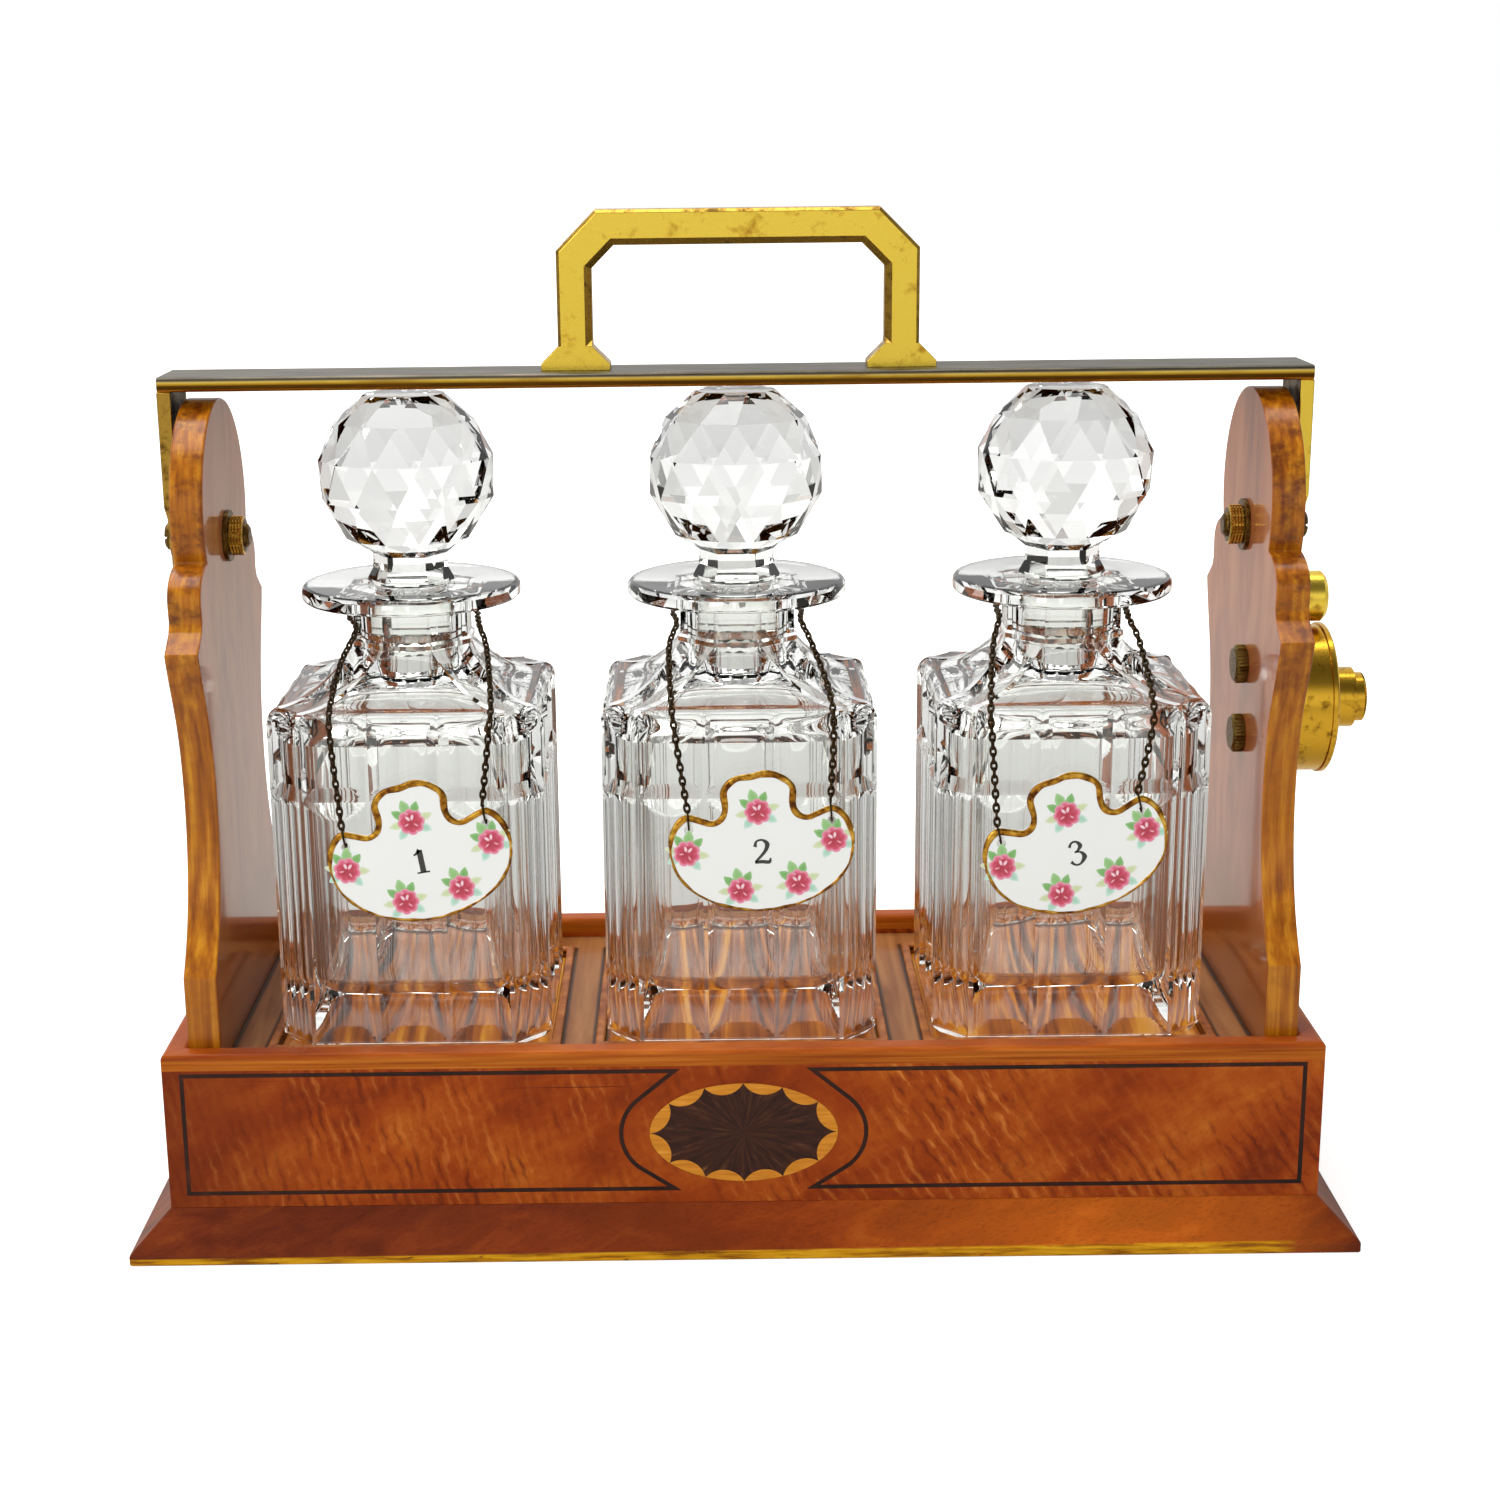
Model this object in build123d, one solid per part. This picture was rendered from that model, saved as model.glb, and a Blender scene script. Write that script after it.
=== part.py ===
from build123d import *
import math
import os

# Three-bottle tantalus: an inlaid case holds three square cut-glass decanters behind a brass
# carrying bar that swings back on two wooden standards, with a push lock on the right one.
# Millimetres. X runs to the right, Y to the back, Z up. The origin is the middle of the
# plinth's underside.

os.makedirs("parts", exist_ok=True)

# ---------- plinth and case ----------
case_d = 136.0
case_h = 52.0
wall = 7.2
rim_round = 1.6
plinth_h = 14.7
plinth_edge = 3.4
plinth_reach = 11.7
plinth_tuck = 14.0
wood_gap = 0.2

# ---------- floor, tray and wells ----------
tray_drop = 7.1
tray_t = 3.5
floor_t = 6.0
bearer_w = 8.0
bearer_h = 12.0
well_n = 3
well_play = 0.6
well_space = 11.1
well_end = 14.7
bead_w = 3.0
bead_h = 1.2
bead_round = 0.5
well_floor_t = 1.4
well_floor_gap = 0.6

# ---------- front inlay ----------
veneer_t = 0.8
oval_rx = 30.0
oval_rz = 16.8
oval_up = 23.7
scallop_n = 12
scallop_deep = 0.26
string_w = 1.4
string_end = 5.4
string_top = 6.4
string_bottom = 4.0
string_tip = 19.8
string_elbow_x = 33.2
string_elbow_z = 10.8
string_bow_x = 38.2

# ---------- standards ----------
standard_t = 10.5
head_r = 35.5
head_gap = 3.4
cusp_drop = 12.0
bump_y = 46.5
bump_top_drop = 20.0
bump_low_drop = 28.0
neck_cove_y = 48.0
neck_cove_drop = 31.0
shoulder_y = 56.0
shoulder_drop = 36.5
ogee_y = 46.4
ogee_drop = 60.0
waist_y = 42.0
waist_up = 71.3
flare_y = 50.0
flare_up = 37.3
foot_up = 22.8
foot_gap = 0.3

# ---------- carrying bar, straps and handle ----------
pivot_drop = 9.0
bar_gap = 2.4
bar_w = 26.6
bar_t = 4.6
bar_round = 1.3
strap_t = 4.5
strap_proud = 0.5
strap_w = 24.0
strap_step_up = 11.0
strap_step_h = 4.5
eye_r = 8.0
tail_drop = 24.0
tail_r = 8.3
tail_neck_w = 11.0
strap_play = 0.05
handle_x = 1.2
handle_w = 114.6
handle_h = 49.8
handle_d = 9.6
handle_leg = 11.0
handle_foot_w = 22.0
handle_foot_rise = 5.5
handle_foot_edge = 2.0
handle_corner = 12.5
handle_corner_in = 7.2
handle_bevel = 1.0
handle_bevel_in = 2.2
handle_screw_r = 2.0
handle_screw_head_r = 3.6
handle_screw_grip = 11.0

# ---------- pivots ----------
screw_r = 2.6
screw_play = 0.05
screw_head_r = 4.4
screw_head_t = 2.4
screw_slot = 0.9
washer_r = 8.4
washer_t = 1.4
spacer_t = 2.15
nut_r = 6.4
nut_t = 4.6
nut_groove = 0.7
screw_dome_r = 4.2
screw_dome_t = 1.6

# ---------- push lock ----------
lug_gap = 1.0
lock_r = 24.8
lock_out = 17.4
lock_back_t = 1.4
lock_wall = 2.0
lock_cap_t = 2.2
lock_lip = 1.2
sleeve_r = 9.9
sleeve_l = 9.5
sleeve_flange_r = 12.4
sleeve_flange_t = 1.2
plunger_r = 8.1
plunger_out = 3.6
plunger_face_r = 6.6
plunger_play = 0.06
plunger_stop = 0.2
keyhole_r = 1.7
keyhole_w = 1.1
keyhole_h = 3.2
keyhole_deep = 2.6
bolt_gap = 0.3
bolt_r = 1.5
bolt_play = 0.06
bolt_rest = 0.2
bolt_foot = 3.0
bolt_foot_w = 6.4
bolt_foot_h = 4.4
bolt_foot_z = 1.5
ramp_play = 0.3
ramp_block_w = 8.0
ramp_lead = 0.4
spring_t = 0.5
spring_w = 5.0
spring_rise = 4.2
lug_out = 9.5
lug_round = 1.4
lug_hole_deep = 7.5
lock_stud_y = -9.0
lock_stud_up = 13.6
lock_stud_down = 9.6
lock_stud_r = 1.8
lock_nut_r = 6.3
lock_nut_t = 4.0
lock_nut_round = 0.8

# ---------- decanters and stoppers ----------
bottle_w = 88.0
bottle_corner = 11.0
bottle_foot = 3.0
ridge_h = 83.1
edge_h = 109.7
edge_bevel = 3.0
shoulder_rise = 18.8
neck_w = 37.0
neck_l = 11.9
lip_r = 35.6
lip_t = 6.8
lip_dish = 1.2
lip_round = 0.6
glass_t = 7.0
glass_corner = 14.0
glass_base_t = 12.0
glass_shoulder_t = 9.0
bore_r = 12.9
bore_low_r = 12.0
bore_low_h = 116.0
flute_side_w = 18.9
flute_mid_w = 20.8
flute_gap = 2.0
flute_deep = 1.7
flute_slope = 3.6
flute_end = 4.2
flute_low = 4.4
panel_gap = 2.6
corner_flutes = 3
corner_flute_w = 4.9
corner_deep = 0.8
corner_slope = 2.1
olive_w = 14.4
olive_slope = 3.6
petal_n = 8
petal_r = 13.0
petal_deep = 1.5
stopper_play = 0.05
ball_n = 12
ball_top_r = 13.0
ball_top_h = 60.8
ball_high_r = 22.6
ball_high_h = 52.2
ball_wide_r = 28.4
ball_wide_h = 40.4
ball_full_r = 27.9
ball_full_h = 27.4
ball_low_r = 20.4
ball_low_h = 14.7
ball_foot_r = 15.0
ball_foot_h = 11.6
stem_r = 12.2
stem_top_h = 9.2
stem_low_h = 4.5
stem_flare_r = 14.1
stem_flare_h = 1.0
plug_l = 24.0

# ---------- labels and their chains ----------
label_gap = 0.4
label_t = 2.2
label_hole_x = 22.6
label_hole_z = -3.0
label_hole_r = 1.4
label_notch_h = 79.0
label_size = 1.03
label_tilts = (9.5, 3.5, 13.0)
label_shifts = (3.2, 6.1, -2.4)
label_drops = (2.0, 0.0, 1.9)
chain_r = 1.1
chain_drop = 4.9
chain_gap = 0.3
chain_start_y = -2.0
chain_mid = 6.5
chain_edge = 3.0
chain_lift = 5.3
chain_spread = 3.4

# ---------- places worked out from the sizes above ----------
well_w = bottle_w + 2 * well_play
well_pitch = well_w + 2 * bead_w + well_space
well_centres = [(i - (well_n - 1) / 2) * well_pitch for i in range(well_n)]
standard_in = well_centres[-1] + well_w / 2 + well_end
inner_l = standard_in + standard_t
half_l = inner_l + wall
half_d = case_d / 2
inner_d = half_d - wall
case_top = plinth_h + case_h
oval_z = plinth_h + oval_up
tray_z = case_top - tray_drop
floor_z = tray_z - tray_t
bottle_z = floor_z + well_floor_t
shoulder_h = edge_h + shoulder_rise
neck_h = shoulder_h + neck_l
lip_z = bottle_z + neck_h + lip_t
bar_z = lip_z + ball_top_h + bar_gap
bar_top = bar_z + bar_t
head_z = bar_z - head_gap - head_r
pivot_z = head_z - pivot_drop
tail_z = pivot_z - tail_drop
strap_in = inner_l + spacer_t + strap_play
strap_out = strap_in + strap_t
bar_half = strap_out - strap_proud
lock_z = tail_z - tail_r - lug_gap - lock_r
lock_face = inner_l + lock_out
bolt_x = strap_out + bolt_gap + bolt_play + bolt_r
neck_r = neck_w / 2 / math.cos(math.pi / 8)
chain_h = neck_h - chain_drop


def put(name, shape):
    """Write one node as its own file."""
    solids = shape.solids()
    shape = solids[0] if len(solids) == 1 else Compound(children=list(solids))
    export_step(shape, "parts/" + name + ".step")


def box(x0, x1, y0, y1, z0, z1):
    """A block between two corners."""
    middle = ((x0 + x1) / 2, (y0 + y1) / 2, (z0 + z1) / 2)
    return Pos(*middle) * Box(x1 - x0, y1 - y0, z1 - z0)


def rod(radius, x0, x1, y=0.0, z=0.0):
    """A round bar along X between x0 and x1."""
    return Pos((x0 + x1) / 2, y, z) * Rot(0, 90, 0) * Cylinder(radius, abs(x1 - x0))


def turned(profile, z, side=1):
    """A piece turned about the X axis at height z; profile is a list of (x, radius)."""
    points = [(profile[0][0], 0)] + list(profile) + [(profile[-1][0], 0)]
    solid = revolve(make_face(Polyline(*points, close=True)), Axis.X)
    return Pos(0, 0, z) * (solid if side > 0 else mirror(solid, Plane.YZ))


def mitred_strip(section, long_half, deep_half, depth):
    """A moulding along the front, of a (y, z) section, its ends cut at 45 degrees."""
    length = extrude(Plane.YZ * section, long_half, both=True)
    plan = Polyline(
        (-long_half, -deep_half), (long_half, -deep_half),
        (long_half - depth, depth - deep_half), (depth - long_half, depth - deep_half), close=True)
    return length & extrude(make_face(plan), case_top)


def four_sides(section_at, long_half, deep_half, depth):
    """The same moulding on the front, right, back and left, by name."""
    front = mitred_strip(section_at(deep_half), long_half, deep_half, depth)
    side = mitred_strip(section_at(long_half), deep_half, long_half, depth)
    return {
        "front": front,
        "right": Rot(0, 0, 90) * side,
        "back": Rot(0, 0, 180) * front,
        "left": Rot(0, 0, -90) * side,
    }


def plinth_section(outer):
    """A bevelled moulding, from its outer edge at -outer to under the case."""
    slope = outer - plinth_reach
    tuck = slope - plinth_tuck
    return make_face(Polyline(
        (-outer, 0), (-outer, plinth_edge), (-slope, plinth_h),
        (-tuck, plinth_h), (-tuck, 0), close=True))


def wall_section(outer):
    """A case board on edge, its top rounded on both sides."""
    board = Pos(wall / 2 - outer, (plinth_h + case_top) / 2) * Rectangle(wall, case_h)
    return fillet(board.vertices().group_by(Axis.Y)[-1], rim_round)


def scalloped_centre():
    """The dark fan of the oval: cusps evenly spaced on the oval, joined by arcs that bow inwards."""
    rim = Ellipse(oval_rx, oval_rz).edge()
    cusps = [rim.position_at(i / scallop_n * rim.length, PositionMode.LENGTH) for i in range(scallop_n)]
    arcs = []
    for i in range(scallop_n):
        a = cusps[i]
        b = cusps[(i + 1) % scallop_n]
        inward = Vector(a.Y - b.Y, b.X - a.X)
        arcs.append(ThreePointArc(a, (a + b) / 2 + inward * scallop_deep, b))
    return make_face(arcs)


def string_panel():
    """One dark line round a front panel, its inner end bowed round the oval."""
    right = half_l - string_end
    top = case_top - string_top
    low = plinth_h + string_bottom
    elbow_top = oval_z + string_elbow_z
    elbow_low = oval_z - string_elbow_z
    outline = make_face([
        Line((string_tip, top), (right, top)),
        Line((right, top), (right, low)),
        Line((right, low), (string_tip, low)),
        Line((string_tip, low), (string_elbow_x, elbow_low)),
        ThreePointArc((string_elbow_x, elbow_low), (string_bow_x, oval_z), (string_elbow_x, elbow_top)),
        Line((string_elbow_x, elbow_top), (string_tip, top))])
    return outline - offset(outline, -string_w, kind=Kind.INTERSECTION)


def inlay(sketch):
    """A sketch on the case's front face, made as a veneer let in flush."""
    return extrude(Plane.XZ.offset(half_d) * sketch, -veneer_t)


def standard_face():
    """One standard's outline in (y, z): head, cusp, bump, shoulder, ogee, waist and foot."""
    cusp_y = math.sqrt(head_r ** 2 - cusp_drop ** 2)
    foot_y = inner_d - foot_gap
    cusp_z = head_z - cusp_drop
    bump_low_z = head_z - bump_low_drop
    cove_z = head_z - neck_cove_drop
    shoulder_z = head_z - shoulder_drop
    foot_z = case_top + foot_up
    head = ThreePointArc((-cusp_y, cusp_z), (0, head_z + head_r), (cusp_y, cusp_z))

    def edge(s):
        return [
            Spline((s * cusp_y, cusp_z), (s * bump_y, head_z - bump_top_drop), (s * bump_y, bump_low_z),
                   tangents=[(s * 1, -0.15), (-s * 0.1, -1)]),
            Line((s * bump_y, bump_low_z), (s * neck_cove_y, cove_z)),
            Line((s * neck_cove_y, cove_z), (s * shoulder_y, shoulder_z)),
            Spline((s * shoulder_y, shoulder_z), (s * ogee_y, head_z - ogee_drop),
                   (s * waist_y, case_top + waist_up), (s * flare_y, case_top + flare_up), (s * foot_y, foot_z),
                   tangents=[(-s * 0.3, -1), (s * 1, -1.1)]),
            Line((s * foot_y, foot_z), (s * foot_y, plinth_h))]

    base = Line((-foot_y, plinth_h), (foot_y, plinth_h))
    return make_face([head] + edge(1) + edge(-1) + [base])


def standard(side):
    """A wooden standard with its pivot hole and, on the right, the lock's two stud holes."""
    blank = extrude(Plane.YZ.offset(standard_in) * standard_face(), standard_t)
    holes = rod(screw_r + screw_play, standard_in - 1, inner_l + 1, 0, pivot_z)
    if side > 0:
        for z in (lock_z + lock_stud_up, lock_z - lock_stud_down):
            holes += rod(lock_stud_r + screw_play, standard_in - 1, inner_l + 1, lock_stud_y, z)
    solid = blank - holes
    return solid if side > 0 else mirror(solid, Plane.YZ)


def strap_face():
    """A strap in (y, z): wide above, stepped in at the eye, with a round-ended tail."""
    w = strap_w / 2
    step_top = pivot_z + strap_step_up
    step = step_top - strap_step_h
    upper = make_face(Polyline(
        (-w, bar_z), (w, bar_z), (w, step_top), (eye_r, step),
        (-eye_r, step), (-w, step_top), close=True))
    shank = Pos(0, (step + tail_z) / 2) * Rectangle(tail_neck_w, step - tail_z)
    eye = Pos(0, pivot_z) * Circle(eye_r)
    root = Pos(0, (step + pivot_z) / 2) * Rectangle(2 * eye_r, step - pivot_z)
    tail = Pos(0, tail_z) * Circle(tail_r)
    return upper + root + eye + shank + tail


def strap(side):
    """A brass strap with its eye bored to turn on the pivot screw."""
    solid = extrude(Plane.YZ.offset(strap_in) * strap_face(), strap_t)
    solid -= rod(screw_r + screw_play, strap_in - 1, strap_out + 1, 0, pivot_z)
    return solid if side > 0 else mirror(solid, Plane.YZ)


def handle():
    """The cast bail: splayed feet, upright legs and cut corners, bevelled on both faces."""
    w = handle_w / 2
    leg = w - handle_leg
    foot_in = w - handle_leg / 2 - handle_foot_w / 2
    foot_out = foot_in + handle_foot_w
    foot_top = handle_foot_edge + handle_foot_rise
    top_in = handle_h - handle_leg
    frame = [(w, foot_top), (w, handle_h - handle_corner), (w - handle_corner, handle_h)]
    frame += [(-x, z) for x, z in reversed(frame)]
    solid = extrude(Plane.XZ.offset(-handle_d / 2) * make_face(Polyline(*frame, close=True)), handle_d)
    rims = [e for e in solid.edges().filter_by(GeomType.LINE)
            if abs(abs(e.center().Y) - handle_d / 2) < 0.01 and e.center().Z > foot_top + 0.1]
    solid = chamfer(rims, handle_bevel)
    for s in (-1, 1):
        foot = make_face(Polyline(
            (s * foot_in, 0), (s * foot_out, 0), (s * foot_out, handle_foot_edge), (s * w, foot_top),
            (s * leg, foot_top), (s * foot_in, handle_foot_edge), close=True))
        solid += extrude(Plane.XZ.offset(-handle_d / 2) * foot, handle_d)

    def opening(grow, floor):
        corner = handle_corner_in + grow * (2 - math.sqrt(2))
        points = [(leg + grow, floor), (leg + grow, top_in + grow - corner), (leg + grow - corner, top_in + grow)]
        return make_face(Polyline(*(points + [(-x, z) for x, z in reversed(points)]), close=True))

    solid -= extrude(Plane.XZ.offset(-handle_d) * opening(0, foot_top), 2 * handle_d)
    for s in (-1, 1):
        face = Plane.XZ.offset(s * handle_d / 2)
        deep = Plane.XZ.offset(s * (handle_d / 2 - handle_bevel_in))
        solid -= loft([face * opening(handle_bevel_in, foot_top), deep * opening(0, foot_top + handle_bevel_in)])
    return Pos(handle_x, 0, bar_top) * solid


def handle_screws():
    """Two countersunk screws that come up through the bar into the handle's feet."""
    x = handle_w / 2 - handle_leg / 2
    pair = []
    for s in (-1, 1):
        foot = handle_x + s * x
        head = Pos(foot, 0, bar_z + 1.2) * Cone(handle_screw_head_r, handle_screw_r, 2.4)
        shank = Pos(foot, 0, bar_z + handle_screw_grip / 2) * Cylinder(handle_screw_r, handle_screw_grip)
        pair.append(head + shank)
    return pair


def octagon(width, corner):
    """A square of the given width with its corners cut off by the given leg."""
    h = width / 2
    c = h - corner
    return make_face(Polyline(
        (c, -h), (h, -c), (h, c), (c, h), (-c, h), (-h, c), (-h, -c), (-c, -h), close=True))


def frustum(width, height, slope, end, deep, distance):
    """A wheel-cut panel on the front: a shallow recess with sloping sides and ends.

    It is a block that narrows inwards, so that what it removes has four bevelled borders.
    """
    over = 1.0
    grow = over / deep
    mouth = Rectangle(width + 2 * slope * grow, height + 2 * end * grow)
    floor = Rectangle(width - 2 * slope, height - 2 * end)
    return loft([Plane.XZ.offset(distance + over) * mouth, Plane.XZ.offset(distance - deep) * floor])


def hollow_flute(width, low, high, end, deep, distance):
    """A wheel-cut flute on the front: a round-bottomed groove whose two ends slope out."""
    over = 1.0
    radius = width ** 2 / (8 * deep) + deep / 2
    grow = over * end / deep
    side = make_face(Polyline(
        (-distance - over, low - grow), (deep - distance, low + end),
        (deep - distance, high - end), (-distance - over, high + grow), close=True))
    wedge = extrude(Plane.YZ.offset(-width) * side, 2 * width)
    return wedge & (Pos(0, deep - distance - radius, (low + high) / 2) * Cylinder(radius, 2 * (high - low)))


def ring_of_cuts():
    """All panels and flutes of the body, four sides and four corners, in the body's frame."""
    cuts = []
    low_h = ridge_h - flute_low
    up_h = edge_h - panel_gap - ridge_h
    half = bottle_w / 2
    corner_dist = (bottle_w - bottle_corner) / math.sqrt(2)
    side_x = flute_mid_w / 2 + flute_gap + flute_side_w / 2
    low_z = flute_low + low_h / 2
    up_z = ridge_h + up_h / 2
    sides = []
    for x, width in ((-side_x, flute_side_w), (0, flute_mid_w), (side_x, flute_side_w)):
        sides.append(Pos(x, 0, 0) * hollow_flute(width, flute_low, ridge_h, flute_end, flute_deep, half))
        sides.append(Pos(x, 0, up_z) * frustum(width, up_h, flute_slope, flute_end, flute_deep, half))
    corners = [Pos(0, 0, up_z) * frustum(olive_w, up_h, olive_slope, flute_end, flute_deep, corner_dist)]
    for i in range(corner_flutes):
        x = (i - (corner_flutes - 1) / 2) * corner_flute_w
        corners.append(Pos(x, 0, low_z) * frustum(
            corner_flute_w, low_h, corner_slope, flute_end, corner_deep, corner_dist))
    for i in range(4):
        cuts += [Rot(0, 0, 90 * i) * c for c in sides]
        cuts += [Rot(0, 0, 90 * i + 45) * c for c in corners]
    return cuts


def petal_cuts():
    """Hollow flutes that run down the shoulder from the neck."""
    inner = neck_w / 2
    outer = bottle_w / 2 - edge_bevel
    slope = math.degrees(math.atan2(shoulder_h - edge_h - edge_bevel, outer - inner))
    middle = ((inner + outer) / 2, (shoulder_h + edge_h + edge_bevel) / 2)
    lift = petal_r - petal_deep
    turn = math.radians(slope)
    x = middle[0] + lift * math.sin(turn)
    z = middle[1] + lift * math.cos(turn)
    cut = Pos(x, 0, z) * Rot(0, 90 + slope, 0) * Cylinder(petal_r, 3 * (outer - inner))
    below = box(inner + 1, bottle_w, -bottle_w, bottle_w, edge_h, shoulder_h + 40)
    return [Rot(0, 0, 360 / petal_n * i) * (cut & below) for i in range(petal_n)]


def decanter():
    """A square cut-glass decanter, hollow, with a faceted neck and a wide flat lip."""
    foot_w = bottle_w - 2 * bottle_foot
    edge_w = bottle_w - 2 * edge_bevel
    top_h = edge_h + edge_bevel
    neck_corner = neck_w * (1 - 1 / (1 + math.sqrt(2))) / 2
    full = octagon(bottle_w, bottle_corner)
    rim = octagon(edge_w, bottle_corner)
    throat = octagon(neck_w, neck_corner)
    foot = loft([octagon(foot_w, bottle_corner), Pos(0, 0, bottle_foot) * full])
    body = Pos(0, 0, bottle_foot) * extrude(full, edge_h - bottle_foot)
    bevel = loft([Pos(0, 0, edge_h) * full, Pos(0, 0, top_h) * rim])
    shoulder = loft([Pos(0, 0, top_h) * rim, Pos(0, 0, shoulder_h) * throat])
    neck = Pos(0, 0, shoulder_h) * extrude(throat, neck_h - shoulder_h + 1)
    glass = foot + body + bevel + shoulder
    glass -= ring_of_cuts()
    glass -= petal_cuts()
    top = neck_h + lip_t
    lip = revolve(make_face(Polyline(
        (0, neck_h), (neck_w / 2, neck_h), (lip_r - lip_round, neck_h + lip_dish),
        (lip_r, neck_h + lip_dish + lip_round), (lip_r, top - lip_round), (lip_r - lip_round, top),
        (0, top), close=True)).rotate(Axis.X, 90), Axis.Z)
    glass = glass + neck + lip
    inner_w = bottle_w - 2 * glass_t
    low = Pos(0, 0, glass_base_t) * RectangleRounded(inner_w, inner_w, glass_corner)
    cavity = extrude(low, edge_h - glass_shoulder_t / 2 - glass_base_t)
    roof_h = edge_h - glass_shoulder_t / 2
    wide = Pos(0, 0, roof_h) * octagon(inner_w - 2, glass_corner)
    mouth_w = 2 * bore_low_r
    mouth = Pos(0, 0, bore_low_h) * octagon(mouth_w, mouth_w * (1 - 1 / (1 + math.sqrt(2))) / 2)
    roof = loft([wide, mouth])
    bore = Pos(0, 0, (bore_low_h - 1 + top) / 2) * Cone(bore_low_r, bore_r, top - bore_low_h + 1)
    return glass - cavity - roof - bore


def facet_ring(radius, height, turn):
    """The corners of one level of the ball."""
    step = 2 * math.pi / ball_n
    return [Vector(radius * math.cos((i + turn) * step), radius * math.sin((i + turn) * step), height)
            for i in range(ball_n)]


def faceted_ball():
    """The stopper's ball: rings of corners, each half a step round from the next, joined by triangles."""
    levels = [
        (ball_foot_r, ball_foot_h), (ball_low_r, ball_low_h), (ball_full_r, ball_full_h),
        (ball_wide_r, ball_wide_h), (ball_high_r, ball_high_h), (ball_top_r, ball_top_h)]
    rings = [facet_ring(r, h, 0.5 * (i % 2)) for i, (r, h) in enumerate(levels)]
    faces = [make_face(Polyline(*rings[0], close=True)), make_face(Polyline(*rings[-1], close=True))]
    for k in range(len(rings) - 1):
        low, high = rings[k], rings[k + 1]
        shift = k % 2
        for i in range(ball_n):
            j = (i + 1) % ball_n
            faces.append(make_face(Polyline(low[i], low[j], high[(i + shift) % ball_n], close=True)))
            faces.append(make_face(Polyline(high[i], high[j], low[i if shift else j], close=True)))
    return Solid(Shell([f.face() for f in faces]))


def stopper():
    """A faceted ball on a six-sided stem with a ground plug below, in the lip's frame."""
    def hexagon(radius, height):
        return Pos(0, 0, height) * RegularPolygon(radius, 6)

    stem = loft([hexagon(ball_foot_r + 0.6, ball_foot_h + 0.4), hexagon(stem_r, stem_top_h)])
    stem += extrude(hexagon(stem_r, stem_low_h), stem_top_h - stem_low_h)
    stem += loft([hexagon(stem_flare_r, stem_flare_h), hexagon(stem_r, stem_low_h)])
    stem += extrude(hexagon(stem_flare_r, stopper_play), stem_flare_h - stopper_play)
    total = neck_h + lip_t - bore_low_h + 1
    taper = (bore_r - bore_low_r) / total
    low_r = bore_r - stopper_play - taper * plug_l
    plug = Pos(0, 0, stem_flare_h / 2 - plug_l / 2) * Cone(
        low_r, bore_r - stopper_play, plug_l + stem_flare_h)
    plug &= Pos(0, 0, stem_flare_h - (plug_l + 1) / 2) * Cylinder(bore_r - stopper_play, plug_l + 1)
    return faceted_ball() + stem + plug


def label_face():
    """The cloud-shaped label: a lobe on top, a notch and an ear each side and a round belly."""
    half = [(0, 13.8), (7.5, 12.6), (11.3, 8.2), (11.2, 2.2), (13.4, -0.5), (18.0, 0.3), (22.6, 1.7),
            (26.6, -1.6), (28.5, -9.0), (25.6, -19.0), (16.5, -26.6), (0, -30.4)]
    points = half + [(-x, z) for x, z in reversed(half[1:-1])]
    return make_face(Spline(*[(x * label_size, z * label_size) for x, z in points], periodic=True))


def label_place(i):
    """Where label i hangs: in the plane before the decanter's front, tilted."""
    x = well_centres[i] + label_shifts[i]
    front = bottle_w / 2 + label_gap
    up = bottle_z + label_notch_h - label_drops[i]
    return Plane.XZ.offset(front) * Pos(x, up) * Rot(0, 0, label_tilts[i])


def label(i):
    """A porcelain label with a hole in each ear."""
    plate = label_face()
    for s in (-1, 1):
        plate -= Pos(s * label_hole_x, label_hole_z) * Circle(label_hole_r)
    return extrude(label_place(i) * plate, label_t)


def chain_loop(i):
    """The part of the chain that lies round the back of the neck, as one plain tube."""
    radius = neck_r + chain_gap + chain_r
    place = Pos(well_centres[i], 0, bottle_z + chain_h)
    arc = CenterArc((0, 0, 0), radius, 2, 176)
    return place * sweep(Plane(origin=arc @ 0, z_dir=arc % 0) * Circle(chain_r), path=arc)


def chain_strand(i, side):
    """One end of the chain, over the shoulder and down to the label's ear, as a plain tube."""
    loop_r = neck_r + chain_gap + chain_r
    tilt = math.radians(label_tilts[i])
    hx = side * label_hole_x * math.cos(tilt) - label_hole_z * math.sin(tilt) + label_shifts[i]
    hz = side * label_hole_x * math.sin(tilt) + label_hole_z * math.cos(tilt) + label_notch_h - label_drops[i]
    front = -(bottle_w / 2 + label_gap + label_t + chain_r + 0.1)
    run = bottle_w / 2 - edge_bevel - neck_w / 2
    mid_h = shoulder_h - (shoulder_rise - edge_bevel) * chain_mid / run + chain_lift
    points = [
        Vector(side * loop_r, chain_start_y, chain_h),
        Vector(side * (loop_r + chain_spread), -neck_w / 2 - chain_mid, mid_h),
        Vector(hx + side * 1.0, -bottle_w / 2 - chain_edge, edge_h + chain_lift),
        Vector(hx, front, hz)]
    radii = []
    for k in (1, 2):
        a = points[k] - points[k - 1]
        b = points[k + 1] - points[k]
        half_turn = math.radians(a.get_angle(b)) / 2
        radii.append(0.45 * min(a.length, b.length) / math.tan(half_turn))
    path = FilletPolyline(*points, radius=radii)
    tube = sweep(Plane(origin=path @ 0, z_dir=path % 0) * Circle(chain_r), path=path)
    return Pos(well_centres[i], 0, bottle_z) * tube


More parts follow.
